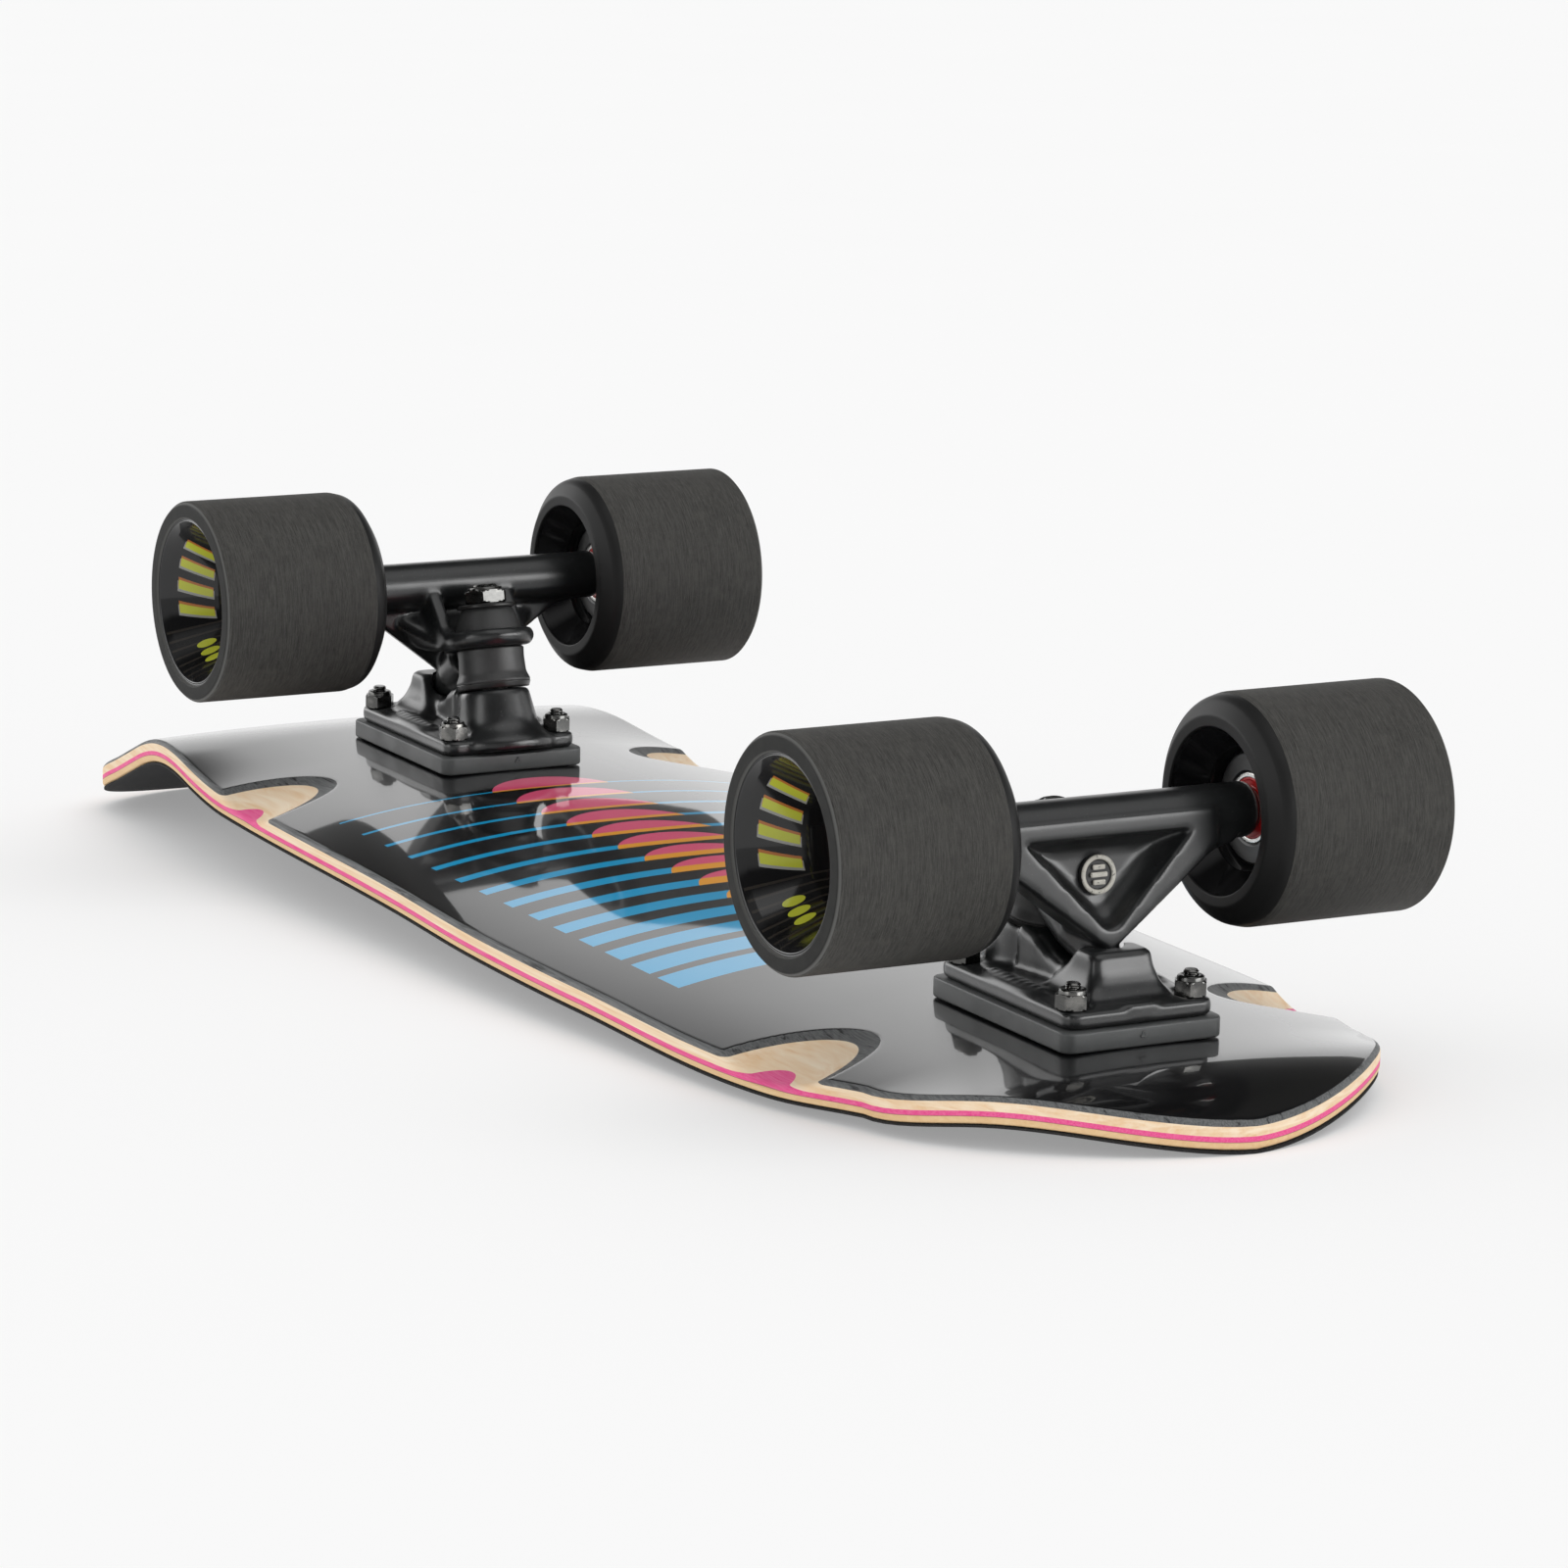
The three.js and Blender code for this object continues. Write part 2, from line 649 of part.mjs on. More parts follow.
function buildTruckFrame(parent, end) {
  const washerBore = kingpinRadius + turnClearance;
  const boardsideWasher = ring(
    washerBore,
    boardsideWasherRadius,
    boardsideWasherStart,
    boardsideWasherStart + boardsideWasherThickness,
    roundSides,
  );
  const roadsideWasher = ring(
    washerBore,
    roadsideWasherRadius,
    roadsideWasherStart - roadsideWasherThickness,
    roadsideWasherStart,
    roundSides,
  );
  const kingpinNut = hexNut(kingpinHeadFlats, washerBore, kingpinNutEnd, kingpinNutStart);
  addMesh(parent, `${end}_riser_pad`, riserGeometry(), riserBlack());
  addMesh(parent, `${end}_baseplate`, baseplateGeometry(), satinBlack());
  addMesh(parent, `${end}_pivot_cup`, pivotCupGeometry(), bushingBlack());
  addMesh(parent, `${end}_kingpin`, kingpinGeometry(), darkOxide());
  addMesh(parent, `${end}_kingpin_nut`, onKingpin(kingpinNut), darkOxide());
  addMesh(parent, `${end}_boardside_bushing`, boardsideBushingGeometry(), bushingBlack());
  addMesh(parent, `${end}_roadside_bushing`, roadsideBushingGeometry(), bushingBlack());
  addMesh(parent, `${end}_boardside_washer`, onKingpin(boardsideWasher), satinBlack());
  addMesh(parent, `${end}_roadside_washer`, onKingpin(roadsideWasher), satinBlack());
}

// Four bolts from the grip down through deck, riser and baseplate, each with its locknut.
function buildMountingHardware(parent, end) {
  const nutHigh = plateTopHeight - restGap;
  const nutLow = nutHigh - locknutThickness;
  let number = 1;
  for (const along of [1, -1]) {
    for (const side of [1, -1]) {
      const x = plateCentre + (along * boltSpacingAlong) / 2;
      const y = (side * boltSpacingAcross) / 2;
      const headTop = undersideAt(frontAxle + x, y) + deckThickness + gripThickness - restGap;
      const profile = [
        [0, nutLow - boltEndBeyondNut],
        [boltRadius, nutLow - boltEndBeyondNut],
        [boltRadius, headTop - boltHeadDepth],
        [boltHeadRadius, headTop - 0.4],
        [boltHeadRadius, headTop],
        [0, headTop],
      ];
      const bolt = addMesh(parent, `${end}_bolt_${number}`, turned(profile, smallSides), darkOxide());
      const nutGeometry = hexNut(locknutFlats, boltRadius + turnClearance, nutLow, nutHigh);
      const nut = addMesh(parent, `${end}_locknut_${number}`, nutGeometry, darkOxide());
      bolt.position.set(x, y, 0);
      nut.position.set(x, y, 0);
      number++;
    }
  }
}

// ---- wheel, turned round Z with its inner face at zero ----

function tyreGeometry() {
  const tread = wheelRadius / Math.cos(Math.PI / wheelSides);
  const bearingSeat = bearingInnerFace - wheelInnerFace;
  const seat = coreRadius + 0.05;
  const profile = [
    [innerLipRadius, 0],
    [tread - innerShoulderDrop, 0],
    [tread, innerShoulderWidth],
    [tread, wheelWidth - outerChamfer],
    [tread - outerChamfer, wheelWidth],
    [outerLipRadius, wheelWidth],
    [outerLipRadius - 2, wheelWidth - 3],
    [seat, bearingSeat + coreWidth],
    [seat, bearingSeat],
    [innerLipRadius, 0],
  ];
  return turned(profile, wheelSides).rotateZ(Math.PI / wheelSides);
}

function coreGeometry() {
  const start = bearingInnerFace - wheelInnerFace;
  const end = start + coreWidth;
  const seat = bearingRadius + 0.1;
  const low = start + bearingWidth + 0.1;
  const high = end - bearingWidth - 0.1;
  const profile = [
    [seat, start],
    [coreRadius - 0.05, start],
    [coreRadius - 0.05, end],
    [seat, end],
    [seat, high],
    [coreShoulderRadius, high],
    [coreShoulderRadius, low],
    [seat, low],
    [seat, start],
  ];
  return turned(profile, hubSides);
}

function buildWheel(parent, name, side) {
  const wheel = new THREE.Group();
  wheel.position.set(0, side * wheelInnerFace, axleHeight);
  wheel.rotation.x = (-side * Math.PI) / 2;
  parent.add(wheel);
  const start = bearingInnerFace - wheelInnerFace;
  const end = start + coreWidth;
  const bore = axleRadius + turnClearance;
  const innerBearing = ring(bore, bearingRadius, start, start + bearingWidth, hubSides);
  const outerBearing = ring(bore, bearingRadius, end - bearingWidth, end, hubSides);
  const nutStart = end + 2 * restGap;
  const nut = hexNut(axleNutFlats, bore, nutStart, nutStart + axleNutThickness);
  addMesh(wheel, `${name}_tyre`, tyreGeometry(), urethane());
  addMesh(wheel, `${name}_core`, coreGeometry(), coreBlack());
  addMesh(wheel, `${name}_inner_bearing`, innerBearing, bearingSteel());
  addMesh(wheel, `${name}_outer_bearing`, outerBearing, bearingSteel());
  addMesh(wheel, `${name}_axle_nut`, nut, axleSteel());
}

function buildTruck(parent, end, x, turn) {
  const truck = new THREE.Group();
  truck.position.x = x;
  truck.rotation.z = turn;
  parent.add(truck);
  buildTruckFrame(truck, end);
  buildMountingHardware(truck, end);
  addMesh(truck, `${end}_hanger`, hangerGeometry(), satinBlack());
  addMesh(truck, `${end}_axle`, axleGeometry(), axleSteel());
  // Left is the board's own left; a truck turned round has its own sides swapped.
  const leftSide = turn ? -1 : 1;
  buildWheel(truck, `${end}_left`, leftSide);
  buildWheel(truck, `${end}_right`, -leftSide);
}

const skateboard = new THREE.Group();
skateboard.position.x = -(noseEnd + tailEnd) / 2;
buildDeck(skateboard);
buildTruck(skateboard, "front", frontAxle, 0);
buildTruck(skateboard, "rear", rearAxle, Math.PI);

export default skateboard;
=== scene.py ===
import json
import math

import bmesh
import bpy
import numpy as np
from mathutils import Matrix, Vector


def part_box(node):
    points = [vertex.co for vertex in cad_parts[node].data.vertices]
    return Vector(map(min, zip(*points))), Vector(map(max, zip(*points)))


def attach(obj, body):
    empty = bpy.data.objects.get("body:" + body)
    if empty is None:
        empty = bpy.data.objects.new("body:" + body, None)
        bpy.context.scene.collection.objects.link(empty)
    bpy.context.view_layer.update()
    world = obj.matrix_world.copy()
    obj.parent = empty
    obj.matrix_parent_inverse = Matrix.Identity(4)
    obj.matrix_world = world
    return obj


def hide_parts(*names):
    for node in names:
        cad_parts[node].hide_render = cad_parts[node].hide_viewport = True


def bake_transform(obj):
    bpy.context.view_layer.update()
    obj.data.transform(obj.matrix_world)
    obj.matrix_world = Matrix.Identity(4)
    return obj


# A cruiser skateboard. Shapes are worked out in millimetres and put into the meshes in metres.
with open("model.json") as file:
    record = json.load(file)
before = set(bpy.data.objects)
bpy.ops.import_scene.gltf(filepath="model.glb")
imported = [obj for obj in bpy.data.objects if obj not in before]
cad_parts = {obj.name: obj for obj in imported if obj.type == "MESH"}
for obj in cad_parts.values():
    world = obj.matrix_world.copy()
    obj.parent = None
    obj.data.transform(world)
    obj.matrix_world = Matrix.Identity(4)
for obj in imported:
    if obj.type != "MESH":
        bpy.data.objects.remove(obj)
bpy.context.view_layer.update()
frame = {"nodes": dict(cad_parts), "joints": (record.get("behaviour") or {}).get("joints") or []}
scene = bpy.context.scene
jointAt = {j["name"]: 1000 * np.array(j["pos_m"]) for j in frame["joints"]}
ends = {"front": 1, "rear": -1}  # which way each truck's pivot side faces along X
sides = {"left": 1, "right": -1}
print("frame loaded:", len(frame["nodes"]), "nodes")


# A camera low on the nose side, under the board as it stands: the board is seen lying on its grip.
camera = {
    "location": (1.68041, 0.88274, -0.32874),
    "forward": (-0.857175, -0.470952, 0.208460),
    "up": (-0.193058, -0.081427, -0.977803),
    "lens": 130.8,
    "sensor": 36.0,
}


def makeCamera(s):
    data = bpy.data.cameras.new("camera")
    data.lens, data.sensor_width = s["lens"], s["sensor"]
    data.clip_start, data.clip_end = 0.05, 300
    obj = bpy.data.objects.new("camera", data)
    scene.collection.objects.link(obj)
    forward, up = Vector(s["forward"]).normalized(), Vector(s["up"])
    right = forward.cross(up).normalized()
    up = right.cross(forward)
    turn = Matrix((right, up, -forward)).transposed().to_4x4()
    obj.matrix_world = Matrix.Translation(s["location"]) @ turn
    scene.camera = obj


makeCamera(camera)
print("camera placed")


# Quads of a grid of rows and columns, wrapped round in either direction.
def gridQuads(rows, cols, wrapRows=False, wrapCols=True):
    i = np.arange(rows if wrapRows else rows - 1)[:, None]
    j = np.arange(cols if wrapCols else cols - 1)[None, :]
    i2, j2 = (i + 1) % rows, (j + 1) % cols
    return np.stack([i * cols + j, i * cols + j2, i2 * cols + j2, i2 * cols + j], -1).reshape(-1, 4)


# A path through corners (x, y, radius), each cut by an arc of its radius that is tangent to both sides.
def roundedPath(corners, steps=6, closed=False):
    c = np.array(corners, float)
    parts = []
    for i, (x, y, r) in enumerate(c):
        here = np.array([x, y])
        if r <= 0 or (not closed and i in (0, len(c) - 1)):
            parts.append(here[None])
            continue
        a, b = c[i - 1, :2] - here, c[(i + 1) % len(c), :2] - here
        a, b = a / np.linalg.norm(a), b / np.linalg.norm(b)
        half = 0.5 * math.acos(float(np.clip(a @ b, -1, 1)))
        middle = here + (a + b) / np.linalg.norm(a + b) * r / math.sin(half)
        first, last = here + a * r / math.tan(half) - middle, here + b * r / math.tan(half) - middle
        start = math.atan2(first[1], first[0])
        turn = (math.atan2(last[1], last[0]) - start + math.pi) % (2 * math.pi) - math.pi
        t = start + turn * np.linspace(0, 1, steps + 1)
        parts.append(middle + r * np.stack([np.cos(t), np.sin(t)], -1))
    return np.concatenate(parts)


# The same path with more points on its long straights, so that none is longer than step.
def evenPath(path, step, closed=False):
    p = np.vstack([path, path[:1]]) if closed else path
    s = np.concatenate([[0], np.cumsum(np.linalg.norm(np.diff(p, axis=0), axis=1))])
    extra = np.arange(0, s[-1], step)
    at = np.unique(np.round(np.concatenate([s, extra]), 4))
    at = at[:-1] if closed else at
    return np.stack([np.interp(at, s, p[:, k]) for k in range(p.shape[1])], -1)


# A closed outline as a fixed count of points evenly spaced along it.
def spacedRing(path, count):
    p = np.vstack([path, path[:1]])
    s = np.concatenate([[0], np.cumsum(np.linalg.norm(np.diff(p, axis=0), axis=1))])
    at = np.linspace(0, s[-1], count, endpoint=False)
    return np.stack([np.interp(at, s, p[:, k]) for k in range(p.shape[1])], -1)


# A profile of (radius, height) turned round Z: x = r cos(angle), y = r sin(angle), z = height.
def turned(profile, turns=96, closed=False, radiusAt=None):
    angle = np.linspace(0, 2 * np.pi, turns, endpoint=False)
    r, h = profile[:, 0][:, None], profile[:, 1][:, None]
    if radiusAt is not None:
        r = radiusAt(r, h, angle[None, :])
    grid = np.stack([r * np.cos(angle), r * np.sin(angle), h + 0 * angle[None, :] + 0 * r], -1)
    return grid.reshape(-1, 3), gridQuads(len(profile), turns, wrapRows=closed)


# A closed section with rounded corners (radius, height, corner radius), turned round Z.
def turnedSection(corners, steps, turns):
    return turned(roundedPath(corners, steps, True), turns, True)


# Rings joined one after another, each end drawn in to its own middle.
def lofted(rings):
    rings = np.array(rings, float)
    first, last = rings[:1].mean(1, keepdims=True), rings[-1:].mean(1, keepdims=True)
    cap = np.ones((1, rings.shape[1], 1))
    whole = np.concatenate([first * cap, rings, last * cap])
    return whole.reshape(-1, 3), gridQuads(len(whole), rings.shape[1])


# Several surfaces as one pair of arrays.
def together(*surfaces):
    points, quads, start = [], [], 0
    for p, q in surfaces:
        points.append(p)
        quads.append(q + start)
        start += len(p)
    return np.concatenate(points), np.concatenate(quads)


def meshFrom(name, points, quads, values=None, mergeAt=2e-7):
    mesh = bpy.data.meshes.new(name)
    mesh.vertices.add(len(points))
    mesh.vertices.foreach_set("co", (points * 0.001).astype(np.float32).ravel())
    mesh.loops.add(quads.size)
    mesh.loops.foreach_set("vertex_index", quads.astype(np.int32).ravel())
    mesh.polygons.add(len(quads))
    mesh.polygons.foreach_set("loop_start", np.arange(0, quads.size, 4, dtype=np.int32))
    mesh.update(calc_edges=True)
    for key, value in (values or {}).items():
        kind = "FLOAT" if value.ndim == 1 else "FLOAT_VECTOR"
        layer = mesh.attributes.new(key, kind, "POINT")
        layer.data.foreach_set("value" if value.ndim == 1 else "vector", value.astype(np.float32).ravel())
    work = bmesh.new()
    work.from_mesh(mesh)
    bmesh.ops.remove_doubles(work, verts=work.verts, dist=mergeAt)  # closes seams and poles
    bmesh.ops.dissolve_degenerate(work, dist=1e-8, edges=work.edges)
    bmesh.ops.recalc_face_normals(work, faces=work.faces)
    work.to_mesh(mesh)
    work.free()
    return mesh


def showPiece(mesh, name, material, body, nodes=(), sharp=35):
    obj = bpy.data.objects.new(name, mesh)
    scene.collection.objects.link(obj)
    mesh.materials.clear()
    mesh.materials.append(material)
    mesh.shade_smooth()
    mesh.set_sharp_from_angle(angle=math.radians(sharp))
    if body:
        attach(obj, body)
    if nodes:
        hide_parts(*nodes)
    return obj


# Points in a truck's own axes (outwards from the axle, across, height) put in their place on the board.
def onTruck(points, end):
    d = ends[end]
    axle = jointAt[f"{end}_left_spin"]
    return np.stack([axle[0] + d * points[:, 0], d * points[:, 1], points[:, 2]], -1)


axleHeight = jointAt["front_left_spin"][2]
seatOut = -abs(jointAt["front_lean"][0] - jointAt["front_left_spin"][0])
seatHeight = jointAt["front_lean"][2]
kingpinTilt, pivotTilt = math.radians(14), math.radians(35)


# Turns +Z by an angle about Y and moves zero to the bushing seat.
def fromSeat(points, angle):
    c, s = math.cos(angle), math.sin(angle)
    x, y, z = points.T
    return np.stack([seatOut + c * x + s * z, y, seatHeight - s * x + c * z], -1)


def alongKingpin(points):
    return fromSeat(points, -kingpinTilt)


def alongPivot(points):
    return fromSeat(points, math.pi / 2 - pivotTilt)


# A node's output that Python's operators act on: each operator adds one Math node.
class Wire:
    def __init__(self, tree, socket):
        self.tree, self.socket = tree, socket

    def math(self, operation, *others):
        return self.node("ShaderNodeMath", {"operation": operation}, dict(enumerate((self,) + others)))

    def reflected(self, operation, other):
        return self.node("ShaderNodeMath", {"operation": operation}, {0: other, 1: self})

    # Any node: its type, its settings, the values or links of its sockets, and which output is wanted.
    def node(self, kind, settings=None, values=None, output=0):
        made = self.tree.nodes.new(kind)
        for key, value in (settings or {}).items():
            if key == "stops":
                ramp = made.color_ramp
                while len(ramp.elements) < len(value):
                    ramp.elements.new(1)
                for element, (at, color) in zip(ramp.elements, value):
                    element.position, element.color = at, (*color, 1)
            else:
                setattr(made, key, value)
        for key, value in (values or {}).items():
            if isinstance(value, Wire):
                self.tree.links.new(value.socket, made.inputs[key])
            else:
                made.inputs[key].default_value = value
        return Wire(self.tree, made.outputs[output])

    def __add__(self, other): return self.math("ADD", other)
    def __radd__(self, other): return self.math("ADD", other)
    def __sub__(self, other): return self.math("SUBTRACT", other)
    def __rsub__(self, other): return self.reflected("SUBTRACT", other)
    def __mul__(self, other): return self.math("MULTIPLY", other)
    def __rmul__(self, other): return self.math("MULTIPLY", other)
    def __truediv__(self, other): return self.math("DIVIDE", other)
    def __rtruediv__(self, other): return self.reflected("DIVIDE", other)
    def __gt__(self, other): return self.math("GREATER_THAN", other)
    def __lt__(self, other): return self.math("LESS_THAN", other)

    def between(self, low, high):
        return (self > low) * (self < high)

    # 0 below low, 1 above high, smooth between; the other way round if high is the smaller.
    def ease(self, low, high):
        return self.node("ShaderNodeMapRange", {"interpolation_type": "SMOOTHSTEP"},
                         {"Value": self, "From Min": low, "From Max": high})

    def scaled(self, low, high, toLow, toHigh):
        return self.node("ShaderNodeMapRange", {}, {"Value": self, "From Min": low, "From Max": high,
                                                    "To Min": toLow, "To Max": toHigh})

    # Noise lies mostly between these two levels, so this spreads it over the range asked for.
    def spread(self, toLow=0, toHigh=1, noiseLow=0.3, noiseHigh=0.7):
        return self.scaled(noiseLow, noiseHigh, toLow, toHigh)

    def mixValue(self, a, b):
        return self.node("ShaderNodeMix", {}, {0: self, 2: a, 3: b})

    def mixColor(self, a, b):
        return self.node("ShaderNodeMix", {"data_type": "RGBA"}, {0: self, 6: a, 7: b}, 2)

    def axes(self):
        made = self.node("ShaderNodeSeparateXYZ", {}, {0: self})
        outs = made.socket.node.outputs
        return [Wire(self.tree, outs[k]) for k in range(3)]

    def stretched(self, x, y, z):
        return self.node("ShaderNodeVectorMath", {"operation": "MULTIPLY"}, {0: self, 1: (x, y, z)})

    def noise(self, scale, detail=4, roughness=0.55, distortion=0.0):
        return self.node("ShaderNodeTexNoise", {}, {"Vector": self, "Scale": scale, "Detail": detail,
                                                    "Roughness": roughness, "Distortion": distortion})

    def bump(self, distance, strength=1.0, normal=None):
        values = {"Height": self, "Strength": strength, "Distance": distance}
        if normal is not None:
            values["Normal"] = normal
        return self.node("ShaderNodeBump", {}, values)


def rgb(*c):
    return (*c, 1)


# Starts a material and hands back its shader and a Wire of Object coordinates.
def newMaterial(name, **constants):
    material = bpy.data.materials.new(name)
    material.use_nodes = True
    tree = material.node_tree
    shader = tree.nodes["Principled BSDF"]
    for key, value in constants.items():
        shader.inputs[key.replace("_", " ")].default_value = value
    place = Wire(tree, tree.nodes.new("ShaderNodeTexCoord").outputs["Object"])
    return material, shader, place


def feed(shader, **wires):
    for key, wire in wires.items():
        shader.id_data.links.new(wire.socket, shader.inputs[key.replace("_", " ")])


def attribute(place, name, output="Fac"):
    return place.node("ShaderNodeAttribute", {"attribute_name": name}, {}, output)


# Boxes of the solids in the frame, in millimetres.
deckBox = [1000 * np.array(corner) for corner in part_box("deck")]
riserBox = [1000 * np.array(corner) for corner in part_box("front_riser_pad")]
deckShape = {
    "width": 203.0, "noseHip": 194.0, "noseCap": 173.0, "tailHip": 186.0, "tailCap": 160.0,
    "noseCapLength": 79.0, "tailCapLength": 48.0, "noseCapPower": 1.65, "tailCapPower": 2.6,
    "thickness": 8.5, "grip": 0.8,
    "concave": 11.0, "endConcave": 3.0, "concavePower": 2.4, "noseFade": 60.0, "tailFade": 90.0,
    "noseKick": (50.0, math.radians(17.5), 140.0), "tailKick": (43.0, math.radians(20), 185.0),
    "wellSpacing": 396.0, "wellRadius": 70.0, "wellInner": 60.0, "wellDepth": 5.2,
    "edgeRadius": 2.1,
}
frontAxle, rearAxle = jointAt["front_left_spin"][0], jointAt["rear_left_spin"][0]
deckMiddle = (frontAxle + rearAxle) / 2
noseEnd, tailEnd = deckBox[1][0], deckBox[0][0]
deckFoot = riserBox[1][2] + 0.1


# A rounded end's narrowing: the superellipse (1 - share^power)^(1/power).
def capFactor(distance, length, power):
    share = np.clip(distance / length, 0, 1)
    return (1 - share ** power) ** (1 / power)


# A smooth curve through widths at a few stations, times the ends' caps. Each station's slope is the mean of the
# two beside it.
def halfWidth(x, s=deckShape):
    stops = np.array([
        (tailEnd + s["tailCapLength"], s["tailCap"] / 2), (rearAxle - 29, s["tailHip"] / 2),
        (rearAxle + 161, s["width"] / 2 - 2.5), (deckMiddle, s["width"] / 2), (frontAxle - 141, s["width"] / 2),
        (frontAxle - 21, s["noseHip"] / 2), (noseEnd - s["noseCapLength"], s["noseCap"] / 2)])
    at, width = stops.T
    slope = np.diff(width) / np.diff(at)
    tangent = np.concatenate([slope[:1], (slope[1:] + slope[:-1]) / 2, slope[-1:]])
    inside = np.clip(x, at[0], at[-1])
    k = np.clip(np.searchsorted(at, inside, side="right") - 1, 0, len(at) - 2)
    step = at[k + 1] - at[k]
    t = (inside - at[k]) / step
    base = ((1 + 2 * t) * (1 - t) ** 2 * width[k] + t * (1 - t) ** 2 * step * tangent[k]
            + t * t * (3 - 2 * t) * width[k + 1] + t * t * (t - 1) * step * tangent[k + 1])
    nose = capFactor(x - (noseEnd - s["noseCapLength"]), s["noseCapLength"], s["noseCapPower"])
    tail = capFactor(tailEnd + s["tailCapLength"] - x, s["tailCapLength"], s["tailCapPower"])
    return base * nose * tail


# A kick leaves the flat on an arc, then runs straight.
def kickRise(distance, angle, radius):
    run = np.maximum(distance, 0)
    bend = radius * math.sin(angle)
    arc = radius - np.sqrt(np.maximum(radius ** 2 - np.minimum(run, bend) ** 2, 0))
    return arc + np.maximum(run - bend, 0) * math.tan(angle)


def smooth(x, low, high):
    t = np.clip((x - low) / (high - low), 0, 1)
    return t * t * (3 - 2 * t)


# The deck's underside: flat, plus the two kicks, plus a concave that grows as |y|^power and fades at the ends.
def underside(x, y, s=deckShape):
    nose, tail = x - frontAxle - s["noseKick"][0], rearAxle - s["tailKick"][0] - x
    fade = (smooth(nose, -s["noseFade"] / 2, s["noseFade"] / 2)
            + smooth(tail, -s["tailFade"] / 2, s["tailFade"] / 2))
    depth = s["concave"] + (s["endConcave"] - s["concave"]) * fade
    rise = kickRise(nose, *s["noseKick"][1:]) + kickRise(tail, *s["tailKick"][1:])
    return deckFoot + rise + depth * (np.abs(y) / (s["width"] / 2)) ** s["concavePower"]


# How far the carving drums of the wheel wells reach into the underside: negative outside a well.
def wellDepth(x, y, s=deckShape):
    rail = s["width"] / 2
    best = np.full(np.broadcast(x, y).shape, -9.0)
    for sign in (1, -1):
        at = deckMiddle + sign * s["wellSpacing"] / 2
        inner, outer = underside(at, s["wellInner"]), underside(at, rail) + s["wellDepth"]
        tilt = math.atan2(outer - inner, rail - s["wellInner"])
        axis = (inner + outer) / 2 - s["wellRadius"] / math.cos(tilt)
        ridge = axis + (np.abs(y) - (s["wellInner"] + rail) / 2) * math.tan(tilt)
        half = np.sqrt(np.maximum(s["wellRadius"] ** 2 - (x - at) ** 2, 0)) / math.cos(tilt)
        best = np.maximum(best, ridge + half - underside(x, y))
    return np.maximum(best, -9)


def liftAt(x):
    return np.hypot(1, underside(x + 0.5, 0) - underside(x - 0.5, 0))


# Stations along the deck: fine through the wells, clustered like a cosine into the two tips.
def deckStations(fine, coarse, s=deckShape):
    tip = 1 - np.sin(np.linspace(0, 0.5, 26)[1:] * np.pi)
    tailPart = tailEnd + s["tailCapLength"] * tip[::-1]
    nosePart = noseEnd - s["noseCapLength"] * tip
    low, high = tailEnd + s["tailCapLength"], noseEnd - s["noseCapLength"]
    x = np.linspace(low, high, 4001)
    half = s["wellSpacing"] / 2
    well = np.minimum(np.abs(x - deckMiddle - half), np.abs(x - deckMiddle + half))
    pace = 1 / np.where(well < 32, fine, coarse)
    count = np.concatenate([[0], np.cumsum((pace[1:] + pace[:-1]) / 2 * np.diff(x))])
    middle = np.interp(np.linspace(0, count[-1], int(count[-1])), count, x)
    return np.concatenate([tailPart, middle, nosePart])


# A closed sheet of the deck's outline between two heights: at each station one loop runs along the lower face,
# round the rail and back along the upper face. Near the outline both faces roll over with the edge radius.
def deckLoop(low, high, across, stations, radius, carve, inset=0.0, s=deckShape):
    x = stations[:, None]
    hw = np.maximum(halfWidth(x) - inset, 0)
    slope = (halfWidth(x + 0.2) - halfWidth(x - 0.2)) / 0.4
    t = across[None, :]
    y = hw * t
    toEdge = (hw - np.abs(y)) / np.hypot(1, slope)
    roll = radius - np.sqrt(np.maximum(radius ** 2 - np.maximum(radius - toEdge, 0) ** 2, 0))
    base, lift = underside(x, y), liftAt(x)
    well = wellDepth(x, y) / lift if carve else np.full(y.shape, -9.0)
    lowDepth = np.maximum(low + roll, well + roll * (well > 0))
    highDepth = high - roll
    lowDepth = np.minimum(lowDepth, highDepth - 0.4)
    wall = np.linspace(0, 1, 6)[1:-1]
    rails = []
    for column in (-1, 0):
        a, b = lowDepth[:, column, None], highDepth[:, column, None]
        rails.append(a + (b - a) * wall[None, :])
    xs = np.broadcast_to(x, y.shape)
    edge = np.ones((1, len(wall)))
    gridX = np.concatenate([xs, x * edge, xs[:, ::-1], x * edge], 1)
    gridY = np.concatenate([y, y[:, -1:] * edge, y[:, ::-1], y[:, :1] * edge], 1)
    depth = np.concatenate([lowDepth, rails[0], highDepth[:, ::-1], rails[1][:, ::-1]], 1)
    wells = np.concatenate([well, well[:, -1:] * edge, 0 * well - 9, well[:, :1] * edge], 1)
    gridZ = underside(gridX, gridY) + depth * lift
    points = np.stack([gridX, gridY, gridZ], -1)
    return points.reshape(-1, 3), gridQuads(*gridX.shape), depth.ravel(), wells.ravel()


def acrossStops(fine, coarse, s=deckShape):
    rail = s["width"] / 2
    roll = 1 - s["edgeRadius"] / rail * (1 - np.sin(np.linspace(0, 0.5, 6) * np.pi))[::-1]
    side = np.arange(s["wellInner"] - 4, rail - s["edgeRadius"] - fine / 2, fine) / rail
    centre = np.linspace(0, s["wellInner"] - 4, int(s["wellInner"] / coarse))[:-1] / rail
    half = np.unique(np.concatenate([centre, side, roll]))
    return np.concatenate([-half[::-1], half[1:]])


